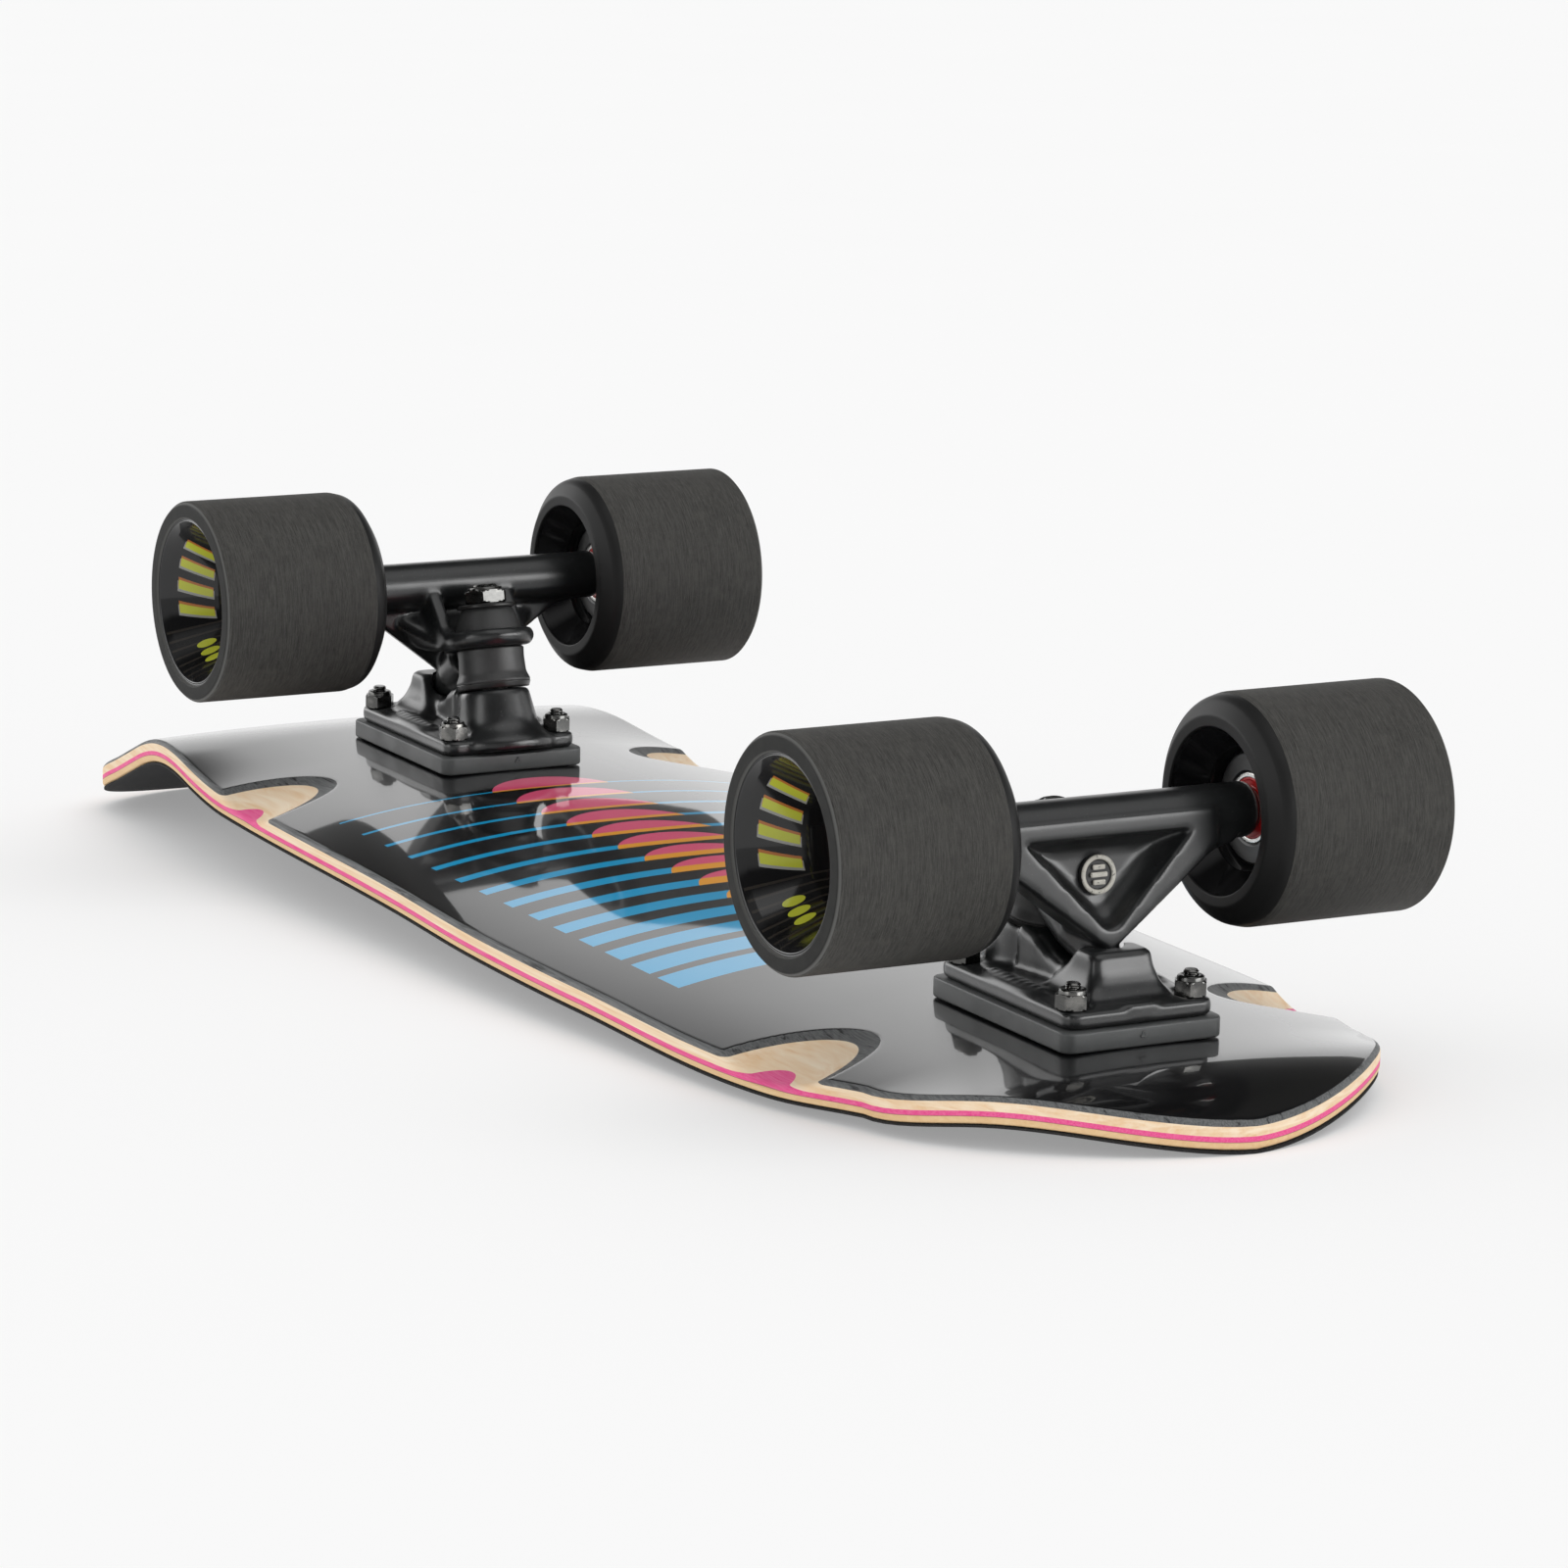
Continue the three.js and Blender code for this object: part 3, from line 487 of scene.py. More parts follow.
woodTones = {
    "paint": rgb(0.004, 0.004, 0.0045), "veneer": rgb(0.075, 0.078, 0.08), "cream": rgb(0.93, 0.77, 0.57),
    "pink": rgb(0.78, 0.055, 0.25), "tan": rgb(0.72, 0.47, 0.24), "line": rgb(0.02, 0.018, 0.018),
    "plies": (0.07, 1.35, 4.15, 5.75),  # depth in mm where paint, veneer, cream and pink each end
}
stripes = {
    "first": -143.9, "pitch": 19.7, "count": 14, "halfLength": 82.0,
    "width": (0.8, 0.55, 0.03), "discRadius": 24.3, "discRise": 16.5,
    "blue": rgb(0.0, 0.32, 0.60), "pink": rgb(0.76, 0.09, 0.20), "orange": rgb(0.86, 0.36, 0.02),
}


def deckWood(tones, s):
    material, shader, place = newMaterial("deckWood", Roughness=0.4, Coat_Roughness=0.045, Coat_IOR=1.5,
                                          Specular_IOR_Level=0.15)
    ply, well = attribute(place, "plyDepth"), attribute(place, "wellDepth")
    depth = ply.math("MAXIMUM", well)
    x, y = [axis * 1000 for axis in place.axes()[:2]]
    # grain runs along the board, so noise is stretched along X
    grain = place.stretched(12, 160, 160).noise(3, 6, 0.6, 0.6)
    fine = place.stretched(40, 900, 900).noise(2, 3, 0.7)
    figure = place.stretched(9, 45, 220).noise(1.5, 3, 0.5, 2.0)
    stain = place.noise(60, 3)
    cream = figure.spread().mixColor(tones["cream"], rgb(0.80, 0.53, 0.29))
    cream = (grain.scaled(0.35, 0.75, 0, 0.45)).mixColor(cream, rgb(0.95, 0.84, 0.68))
    veneer = fine.spread().mixColor(tones["veneer"], rgb(0.17, 0.175, 0.175))
    veneer = grain.ease(0.52, 0.7).mixColor(veneer, rgb(0.02, 0.02, 0.021))
    pink = fine.spread(0, 0.8).mixColor(tones["pink"], rgb(0.86, 0.20, 0.38))
    tan = grain.spread().mixColor(tones["tan"], rgb(0.80, 0.58, 0.33))
    wobble = (stain - 0.5) * 0.10
    painted, toVeneer, toCream, toPink = tones["plies"]
    level = depth + wobble
    color = (level > toVeneer).mixColor(veneer, cream)
    color = (level > toCream).mixColor(color, pink)
    color = (level > toPink).mixColor(color, tan)
    glueLine = (level - toPink).math("ABSOLUTE") < 0.12
    color = (glueLine * 0.5).mixColor(color, tones["line"])
    # printed bands across the board, each with a low disc that stands on it towards the tail
    along = (x - (deckMiddle + s["first"])) / s["pitch"]
    number = along.math("CEIL")
    back = (number - along) * s["pitch"]
    count = number + 1
    a, b, c = s["width"]
    band = back < (count * (count * c + b) + a)
    onPrint = number.between(-0.5, s["count"] - 0.5) * (y.math("ABSOLUTE") < s["halfLength"])
    towardsTail = back - (s["discRise"] - s["discRadius"])
    disc = (towardsTail * towardsTail + y * y) < s["discRadius"] ** 2
    ink = (disc * (1 - band)).mixColor(s["blue"], s["pink"])
    ink = (disc * band).mixColor(ink, s["orange"])
    inked = onPrint * (1 - (1 - band) * (1 - disc))
    paint = inked.mixColor(tones["paint"], ink)
    bare = depth > painted
    color = bare.mixColor(paint, color)
    rough = bare.mixValue(0.30, grain.spread(0.45, 0.62))
    scuff = place.stretched(30, 5, 5).noise(3, 5).ease(0.55, 0.8)
    feed(shader, Base_Color=color, Roughness=rough, Coat_Weight=(1 - bare) * (1 - scuff * 0.06),
         Normal=(fine * bare * 0.7 + grain * bare * 0.3 + place.noise(35, 2) * 0.25).bump(0.00012, 0.5))
    return material


def gripGrit():
    material, shader, place = newMaterial("gripGrit", Roughness=0.9, Specular_IOR_Level=0.35)
    grit = place.node("ShaderNodeTexVoronoi", {"feature": "F1"}, {"Vector": place, "Scale": 1900.0})
    worn = place.noise(7, 4).ease(0.45, 0.75)
    speck = grit.ease(0.30, 0.10)
    color = (speck * 0.6).mixColor(rgb(0.012, 0.012, 0.013), rgb(0.065, 0.065, 0.068))
    color = (worn * 0.35).mixColor(color, rgb(0.04, 0.038, 0.036))
    feed(shader, Base_Color=color, Roughness=speck.scaled(0, 1, 0.95, 0.5),
         Normal=(1 - grit).bump(0.00035, 0.8))
    return material


def buildDeck(s=deckShape):
    points, quads, depth, wells = deckLoop(0, s["thickness"], acrossStops(0.95, 6), deckStations(0.95, 3.4),
                                           s["edgeRadius"], True)
    mesh = meshFrom("deck_board", points, quads, {"plyDepth": depth, "wellDepth": wells})
    showPiece(mesh, "deck_board", deckWood(woodTones, stripes), "board", ["deck"], 50)
    low, high = s["thickness"] + 0.02, s["thickness"] + s["grip"]
    points, quads, depth, wells = deckLoop(low, high, acrossStops(4, 8), deckStations(4, 6), 0.3, False, 0.5)
    mesh = meshFrom("grip_sheet", points, quads)
    showPiece(mesh, "grip_sheet", gripGrit(), "board", ["grip_tape"], 50)


buildDeck()
print("deck and grip built")


# Wheels are turned about +Z, with the inner face at 0 and the outer face at the wheel's width.
wheelSize = {
    "radius": 36.0, "width": 64.4, "innerFace": 42.6, "bearingAt": 12.95, "coreWidth": 24.2, "coreRadius": 18.0,
    "bearingRadius": 11.0, "bearingWidth": 7.0, "turns": 144,
}
printTones = {"ink": rgb(0.50, 0.53, 0.045), "shade": rgb(0.42, 0.14, 0.03), "edge": rgb(0.30, 0.30, 0.28)}


def urethane(tones, s):
    material, shader, place = newMaterial("urethane", Coat_Roughness=0.08, Specular_IOR_Level=0.12)
    local = attribute(place, "wheelAt", "Vector")
    px, py, height = local.axes()
    radius = (px * px + py * py).math("SQRT")
    angle = py.math("ARCTAN2", px) * (180 / math.pi)
    recess = (radius < s["radius"] - 6.35) * (height > 20)
    innerCone = (radius < s["radius"] - 10.3) * (height < 14)
    lip = (height > s["width"] - 0.9) * (1 - recess)
    tread = radius > s["radius"] - 0.5
    # ground tread: fine scratches run round the wheel, so the noise is short along the axle and long round it
    scratch = local.stretched(0.13, 0.13, 3.4).noise(1, 6, 0.8)
    hair = local.stretched(0.3, 0.3, 10).noise(1, 4, 0.85)
    dust = local.noise(0.16, 5, 0.6)
    speck = local.noise(3.2, 2, 0.5).ease(0.66, 0.72)
    dull = scratch.spread().mixColor(rgb(0.012, 0.0118, 0.0112), rgb(0.082, 0.080, 0.075))
    dull = (hair.ease(0.50, 0.68) * 0.6).mixColor(dull, rgb(0.125, 0.122, 0.112))
    dull = (dust.ease(0.5, 0.75) * 0.4).mixColor(dull, rgb(0.072, 0.07, 0.063))
    dull = (speck * 0.3).mixColor(dull, rgb(0.16, 0.155, 0.14))
    color = tread.mixColor(rgb(0.014, 0.014, 0.014), dull)
    lipTone = dust.spread().mixColor(rgb(0.010, 0.010, 0.0095), rgb(0.018, 0.018, 0.017))
    # painted highlight: a lighter grey along the inner and outer edges of the lip ring
    lipEdgeHighlight = (radius - (s["radius"] - 3.4)).math("ABSOLUTE").ease(2.0, 2.6)
    lipTone = (lipEdgeHighlight * 0.7).mixColor(lipTone, rgb(0.13, 0.13, 0.125))
    color = lip.mixColor(color, lipTone)
    gloss = (recess + innerCone).math("MINIMUM", 1)
    # printed marks, twice round the recess: four slanted bars and a row of three dots
    half = (angle + 90).math("FLOORED_MODULO", 180) - 90

    def bars(shift, grow):
        slant = half + (radius - 23) * 1.6 + shift
        cell = (slant + 48).math("FLOORED_MODULO", 19.5)
        onBar = cell.between(5.5 - grow, 13.0 + grow) * slant.between(-48, 30)
        return onBar * radius.between(20.6 - grow * 0.3, 25.8 + grow * 0.3)
    spot = ((half - 47).math("FLOORED_MODULO", 10) - 5) * 0.4
    dots = ((radius - 23) * (radius - 23) + spot * spot < 2.4) * half.between(47, 77)
    mark = (bars(0.0, 0.0) + dots).math("MINIMUM", 1)
    # painted reflection: faint warm radial streaks over part of the glossy recess, beside the printed dots
    radialReflectionStreaks = ((angle * 0.8).math("SINE") > 0.72) * radius.between(18, 28.5) * half.between(30, 90)
    face = (radialReflectionStreaks * 0.10).mixColor(rgb(0.006, 0.006, 0.0065), rgb(0.22, 0.18, 0.14))
    face = bars(-1.6, 0.6).mixColor(face, tones["edge"])
    face = bars(2.0, 0.2).mixColor(face, tones["shade"])
    face = mark.mixColor(face, tones["ink"])
    color = gloss.mixColor(color, rgb(0.006, 0.006, 0.0065))
    color = recess.mixColor(color, face)
    rough = tread.mixValue(0.42, scratch.spread(0.55, 0.8))
    rough = lip.mixValue(rough, 0.58)
    rough = gloss.mixValue(rough, 0.2)
    feed(shader, Base_Color=color, Roughness=rough, Coat_Weight=gloss * 0.8,
         Normal=(scratch * tread * 0.6 + hair * tread * 0.25 + dust * 0.15).bump(0.00025, 0.35))
    return material


def plainSheen(name, dark, light, roughLow, roughHigh, metallic=0.0, bumpScale=900.0, bumpDistance=0.00004):
    material, shader, place = newMaterial(name, Metallic=metallic)
    patch, fine = place.noise(90, 4), place.noise(bumpScale, 3, 0.6)
    color = patch.spread().mixColor(dark, light)
    feed(shader, Base_Color=color, Roughness=patch.spread(roughLow, roughHigh),
         Normal=(fine + patch * 0.6).bump(bumpDistance, 0.5))
    return material


# Turned steel: fine lines round the axis come from noise that is stretched across it.
def turnedSteel(name, color, worn, rough, stretch):
    material, shader, place = newMaterial(name, Metallic=1.0)
    lines = place.stretched(*stretch).noise(1.0, 4, 0.7)
    patch = place.noise(120, 4)
    tone = patch.scaled(0.35, 0.7, 0, 1).mixColor(color, worn)
    feed(shader, Base_Color=tone, Roughness=lines.spread(rough, rough + 0.18),
         Normal=lines.bump(0.00003, 0.4))
    return material


tyreMaterial = urethane(printTones, wheelSize)
coreMaterial = plainSheen("mouldedCore", rgb(0.008, 0.008, 0.008), rgb(0.016, 0.016, 0.016), 0.28, 0.42)
bearingSteel = turnedSteel("bearingSteel", rgb(0.72, 0.71, 0.69), rgb(0.55, 0.54, 0.52), 0.16, (900, 60, 900))
sealRed = plainSheen("sealRed", rgb(0.48, 0.012, 0.014), rgb(0.62, 0.03, 0.028), 0.3, 0.45)
axleSteel = turnedSteel("axleSteel", rgb(0.50, 0.50, 0.48), rgb(0.36, 0.35, 0.33), 0.26, (60, 1500, 60))


def tyreProfile(s):
    r, w, seat = s["radius"], s["width"], s["coreRadius"] + 0.05
    start, stop = s["bearingAt"], s["bearingAt"] + s["coreWidth"]
    corners = [
        (seat, start, 0), (seat + 0.9, start - 3.2, 1.2), (r - 10.8, 1.4, 2.5), (r - 10.0, 0.0, 0.5),
        (r - 6.6, 0.0, 2.2), (r - 1.2, 3.6, 5.0), (r, 8.5, 6.0), (r, w - 1.4, 0.9), (r - 1.3, w - 0.1, 0.7),
        (r - 5.7, w, 0.35), (r - 6.1, w - 0.9, 0.3), (r - 6.6, w - 1.2, 0.3), (r - 7.0, w - 0.6, 0.3),
        (r - 8.5, w - 3.4, 1.2), (seat + 1.6, stop + 7.0, 6.0), (seat, stop, 0.0)]
    path = roundedPath(corners, 5)
    return evenPath(path, 3.0)


# Hexagon or circle, whichever is nearer the axis, under a chamfer cone at both ends.
def hexRadius(flats, low, high, chamfer):
    def radiusAt(r, h, angle):
        inFlat = (angle + np.pi / 6) % (np.pi / 3) - np.pi / 6
        flat = flats / 2 / np.cos(inFlat)
        cone = flats / 2 * (1 + chamfer) + np.minimum(h - low, high - h) * 1.9
        return np.where(r > flats * 0.45, np.minimum(flat, cone), r + 0 * angle)
    return radiusAt


def hexNutSurface(flats, bore, low, high, chamfer=0.03):
    edge = np.linspace(low, high, 15)
    outer = np.stack([np.full(15, flats * 0.6), edge], -1)
    ring = np.array([[flats * 0.44, high], [bore + 0.6, high], [bore, high - 0.5], [bore, low + 0.5],
                     [bore + 0.6, low], [flats * 0.44, low]])
    return turned(np.vstack([outer, ring]), 144, True, hexRadius(flats, low, high, chamfer))


# A threaded rod end: the radius swings with height over pitch plus the turn, which makes a helix.
def threadedRod(radius, low, high, pitch, depth, threadFrom, threadTo, turns=48, tip=0.7):
    fine = np.arange(threadFrom, threadTo, pitch / 6)
    heights = np.unique(np.concatenate([[low, low + tip, high - tip, high], fine]))
    def radiusAt(r, h, angle):
        phase = h / pitch + angle / (2 * np.pi)
        wave = 2 * np.abs(phase - np.floor(phase + 0.5))
        cut = smooth(h, threadFrom, threadFrom + pitch) * (1 - smooth(h, threadTo - pitch, threadTo))
        full = radius - depth * wave * cut
        full = np.minimum(full, radius - tip + np.minimum(h - low, high - h))
        return np.where(r > 0, full, 0 * full)
    profile = np.vstack([[0, low], np.stack([np.full(len(heights), radius), heights], -1), [0, high]])
    return turned(profile, turns, False, radiusAt)


def buildWheel(end, side, s):
    name = f"{end}_{side}"
    sign = sides[side]
    body = f"{name}_wheel"
    axle = jointAt[f"{name}_spin"]

    # local Z runs out along the axle; the wheel keeps its handedness on both sides
    def place(points):
        x, y, z = points.T
        out = s["innerFace"] + z
        return np.stack([axle[0] - sign * x, sign * out, axle[2] + y], -1)

    def add(surface, piece, material, slot, nodes=(), keep=False, rides=body):
        points, quads = surface
        values = {"wheelAt": points} if keep else None
        mesh = meshFrom(f"{name}_{piece}", place(points), quads, values)
        showPiece(mesh, f"{name}_{piece}", material, rides, [f"{name}_{n}" for n in nodes])

    start, stop = s["bearingAt"], s["bearingAt"] + s["coreWidth"]
    add(turned(tyreProfile(s), s["turns"], True), "soft_tyre", tyreMaterial, "urethane", ["tyre"], True)
    seat, high = s["bearingRadius"] + 0.05, stop - s["bearingWidth"] - 0.1
    low = start + s["bearingWidth"] + 0.1
    rim = s["coreRadius"] - 0.1
    core = roundedPath([(seat, start + 0.1, 0.0), (seat + 0.6, start - 0.3, 0.4), (rim - 1.1, start, 1.0),
                        (rim, start + 1.4, 0.6), (rim, stop - 1.4, 0.6), (rim - 1.1, stop, 1.0),
                        (seat + 0.6, stop + 0.3, 0.4), (seat, stop - 0.1, 0), (seat, high, 0), (8.5, high, 0),
                        (8.5, low, 0), (seat, low, 0)], 4)
    add(turned(core, 96, True), "hub_core", coreMaterial, "wheel_core", ["core"])
    for which, face, inward in (("inner", start, 1), ("outer", stop, -1)):
        r, w = s["bearingRadius"], s["bearingWidth"]
        race = roundedPath([(4.35, 0, 0.3), (5.6, 0, 0.25), (5.6, 0.5, 0), (5.6, w - 0.5, 0), (5.6, w, 0.25),
                            (4.35, w, 0.3)], 4, True)
        outerRace = roundedPath([(9.5, 0.0, 0.2), (r, 0.0, 0.45), (r, w, 0.45), (9.5, w, 0.2)], 4, True)
        seal = roundedPath([(5.75, 0.35, 0.12), (6.6, 0.22, 0.3), (7.0, 0.48, 0.3), (8.4, 0.48, 0.3),
                            (8.8, 0.25, 0.2), (9.42, 0.3, 0.1), (9.42, w - 0.3, 0.1), (5.75, w - 0.3, 0.1)], 4, True)
        flip = np.array([1, inward])
        zero = np.array([0, face])
        rings = [turned(path * flip + zero, 96, True) for path in (race, outerRace)]
        add(together(*rings), f"{which}_races", bearingSteel, "bearing", [f"{which}_bearing"])
        add(turned(seal * flip + zero, 96, True), f"{which}_seal", sealRed, "bearing")
    # a speed washer each side of the bearings and the nut outside them, all held on the axle
    for face, inward in ((start, -1), (stop, 1)):
        washer = roundedPath([(4.3, 0.04, 0), (6.6, 0.04, 0.1), (6.6, 0.5, 0.15), (4.3, 0.5, 0.1)], 3, True)
        tag = "inner" if inward < 0 else "outer"
        add(turned(washer * np.array([1, inward]) + np.array([0, face]), 64, True), f"{tag}_speed_washer",
            axleSteel, "axle_steel", rides=f"{end}_truck")
    nutStart = stop + 0.6
    nut = hexNutSurface(13.0, 4.1, nutStart, nutStart + 5.0)
    collar = turnedSection([(4.2, nutStart + 4.9, 0), (5.9, nutStart + 4.9, 0), (5.7, nutStart + 6.5, 0.5),
                            (4.2, nutStart + 6.5, 0.3)], 4, 72)
    add(together(nut, collar), "wheel_nut", axleSteel, "axle_steel", ["axle_nut"], rides=f"{end}_truck")


for end in ends:
    for side in sides:
        buildWheel(end, side, wheelSize)
print("wheels built")


# Castings are closed parts joined, cut, then voxel remeshed so that their joins flow.
def shellObject(name, surfaces):
    points, quads = together(*surfaces)
    obj = bpy.data.objects.new(name, meshFrom(name, points, quads))
    scene.collection.objects.link(obj)
    return obj


def bakedMesh(obj, name):
    bpy.context.view_layer.update()
    evaluated = obj.evaluated_get(bpy.context.evaluated_depsgraph_get())
    mesh = bpy.data.meshes.new_from_object(evaluated)
    mesh.name = name
    return mesh


# Joins the solid parts by remeshing, takes the cutters away, remeshes again and relaxes the surface.
def castFrom(name, solids, cutters, voxel, relax):
    body = shellObject(name, solids)
    remesh = body.modifiers.new("join", "REMESH")
    remesh.mode, remesh.voxel_size = "VOXEL", voxel * 0.001
    soften = body.modifiers.new("flow", "SMOOTH")
    soften.iterations, soften.factor = relax, 0.5
    tools = []
    for number, cutter in enumerate(cutters):
        tool = shellObject(f"{name}_cut{number}", [cutter])
        cut = body.modifiers.new(f"cut{number}", "BOOLEAN")
        cut.operation, cut.object, cut.solver = "DIFFERENCE", tool, "EXACT"
        tools.append(tool)
    again = body.modifiers.new("skin", "REMESH")
    again.mode, again.voxel_size = "VOXEL", voxel * 0.001
    last = body.modifiers.new("soft", "SMOOTH")
    last.iterations, last.factor = 4, 0.5
    mesh = bakedMesh(body, name)
    for obj in [body] + tools:
        bpy.data.objects.remove(obj)
    return mesh


# The cast mesh turned round for the other truck.
def placedCast(mesh, name, end):
    copy = mesh.copy()
    copy.name = name
    co = np.zeros(len(copy.vertices) * 3, np.float32)
    copy.vertices.foreach_get("co", co)
    placed = onTruck(co.reshape(-1, 3).astype(float) * 1000, end) * 0.001
    copy.vertices.foreach_set("co", placed.astype(np.float32).ravel())
    copy.update()
    return copy


# A rounded rectangle ring in the plane of two axes, at one place on the third.
def rectRing(a0, a1, b0, b1, r, steps=4):
    return roundedPath([(a0, b0, r), (a1, b0, r), (a1, b1, r), (a0, b1, r)], steps, True)


# A flat outline pushed along X (order of the axes given), with its rim rolled over by an edge radius.
def pushed(outline, low, high, edge=0.0):
    rings, middle = [], outline.mean(0)
    reach = np.linalg.norm(outline - middle, axis=1).max()
    for t in np.linspace(0, np.pi / 2, 4 if edge else 1):
        shrink = 1 - edge * (1 - math.sin(t)) / reach
        rings.append((middle + (outline - middle) * shrink, low + edge * (1 - math.cos(t))))
    rings += [(o, high - (h - low)) for o, h in rings[::-1]]
    return lofted([np.column_stack([o, np.full(len(o), h)]) for o, h in rings])


hangerShape = {
    "barRadius": 8.6, "barLength": 109.4, "webHalf": 37.6, "webApex": 37.2, "webShoulder": 8.0, "apexRadius": 6.0,
    "faceOut": 9.2, "thickness": 13.0, "lean": math.radians(6), "pocketInset": 5.6, "pocketDepth": 8.5,
    "ringRadius": 16.0, "ringThickness": 5.6, "ringBore": 8.2, "ribAt": 14.2, "noseRadius": 5.5, "noseReach": 48.7,
}


# The web's outline across the board, measured from the axle: straight sides, shoulders, and a rounded apex.
def webOutline(half, top, shoulder, apex, cornerRadius, apexRadius):
    return roundedPath([(half, top, 0.8), (half, shoulder, cornerRadius), (0, apex, apexRadius),
                        (-half, shoulder, cornerRadius), (-half, top, 0.8)], 8, True)


def buildHanger(s):
    up = axleHeight

    # (across, below the axle, out) leaning outwards as it goes up
    def leaning(surface):
        v, w, u = surface[0].T
        c, k = math.cos(s["lean"]), math.sin(s["lean"])
        return np.stack([s["faceOut"] + u * c + w * k, v, up + w * c - u * k], -1), surface[1]

    half = s["barLength"] / 2
    r = s["barRadius"]
    bar = turned(roundedPath([(0, -half, 0), (r - 1.2, -half, 0), (r, -half + 1.6, 1), (r, half - 1.6, 1),
                              (r - 1.2, half, 0), (0, half, 0)]), 72)
    bar = (np.stack([bar[0][:, 0], bar[0][:, 2], up + bar[0][:, 1]], -1), bar[1])
    outline = webOutline(s["webHalf"] + 1, -4.0, s["webShoulder"], s["webApex"], 3.0, s["apexRadius"])
    web = leaning(pushed(evenPath(outline, 3, True), -s["thickness"], 0.3, 1.3))
    # two soft gussets run the web's corners out along the bar
    gussets = []
    for sign in (1, -1):
        outline = roundedPath([(sign * 26, 0, 1), (sign * 50, 0, 1), (sign * 46, 7.6, 3), (sign * 38, 9.6, 6),
                               (sign * 26, 15, 1)], 6, True)
        gussets.append(leaning(pushed(outline, -s["thickness"] + 1.5, -1.6, 1.0)))
    thick = s["ringThickness"] / 2
    r = s["ringRadius"]
    ringPath = roundedPath([(0, -thick - 0.2, 0), (r - 3.6, -thick - 0.2, 0.5), (r - 2.8, -thick - 1.0, 0.6),
                            (r - 0.6, -thick - 0.6, 1.0), (r + 0.6, -0.4, 2.0), (r - 1.4, thick, 2.0),
                            (0, thick, 0)])
    ring = turned(evenPath(ringPath, 3), 72)
    ring = (alongKingpin(ring[0]), ring[1])
    # the neck sweeps from the ring up into the web: (out, half width and height at the bar's side, the same at
    # the deck's side, corner)
    sections = ((-2, 15.0, -2.0, 14.8, 2.3, 1.2), (6, 15.8, -2.4, 15.4, 2.5, 1.4), (11, 18.2, -3.8, 16.4, 2.5, 1.8),
                (15, 22.0, -6.6, 17.5, 2.2, 2.2), (18.5, 26.5, -10.2, 18.5, 1.6, 2.6),
                (21.5, 31.0, -14.2, 19.0, 0.8, 3.0), (24, 34.5, -16.8, 18.4, 0.0, 3.0),
                (27, 34.5, -16.8, 18.0, 0.0, 3.0))
    neck = lofted([np.column_stack([np.full(60, x), spacedRing(roundedPath(
        [(-a, low, r), (a, low, r), (b, high, r), (-b, high, r)], 4, True), 60)])
        for x, a, low, b, high, r in sections])
    neck = (alongKingpin(neck[0]), neck[1])
    # side ribs from the bar down to the ring, with the kingpin's nut between them
    ribs = []
    for sign in (1, -1):
        outline = roundedPath([(-5, up - 6.5, 2), (-8.5, up + 1, 4), (-19, up + 12.5, 5), (-25, seatHeight - 2, 2),
                               (-18, seatHeight + 4, 2), (2, seatHeight + 6, 2), (4, up + 2, 2)], 6, True)
        rib = pushed(outline, sign * s["ribAt"] - 2.5, sign * s["ribAt"] + 2.5, 0.9)
        ribs.append((rib[0][:, [0, 2, 1]], rib[1]))
    nosePath = roundedPath([(0, 14, 0), (10.5, 14, 1), (9.2, 28, 6), (s["noseRadius"] + 1.4, 36, 3),
                            (s["noseRadius"] - 0.2, s["noseReach"] - 2, 2), (s["noseRadius"] - 2, s["noseReach"], 1),
                            (0, s["noseReach"], 0)])
    nose = turned(evenPath(nosePath, 2.5), 56)
    nose = (alongPivot(nose[0]), nose[1])
    # the pocket narrows with depth, so its walls slope and its floor is a shallow dish
    inset = s["pocketInset"]
    rings = []
    for depth, draft in ((6, -1.0), (0.5, -0.7), (-0.7, 0.0), (-3.2, 0.7), (-5.6, 2.2), (-7.6, 5.0), (-8.5, 8.5)):
        half = s["webHalf"] - 1.65 * inset - draft * 1.6
        outline = webOutline(half, 2.2 + draft * 0.7, 3.1 + draft * 0.7, s["webApex"] - inset - draft * 1.2,
                             2.4, 4.6)
        rings.append(np.column_stack([spacedRing(outline, 96), np.full(96, depth)]))
    pocket = leaning(lofted(rings))
    boreCut = turned(np.array([[0, -30.0], [s["ringBore"], -30], [s["ringBore"], 30], [0, 30]]), 48)
    boreCut = (alongKingpin(boreCut[0]), boreCut[1])
    cutters = [pocket, boreCut]
    return castFrom("hanger", [bar, web, ring, neck, nose] + ribs + gussets, cutters, 0.75, 5)


plateShape = {
    "length": 77.0, "width": 51.5, "thickness": 5.4, "corner": 4.0, "centre": -7.2, "boltAlong": 63.5,
    "boltAcross": 41.3, "towerTop": 12.6, "towerFoot": 15.9, "towerStart": 18.1, "housingHalf": 10.6,
    "housingTop": 19.8, "housingFoot": 26.8, "cupAt": 43.0, "cupRadius": 7.6,
}


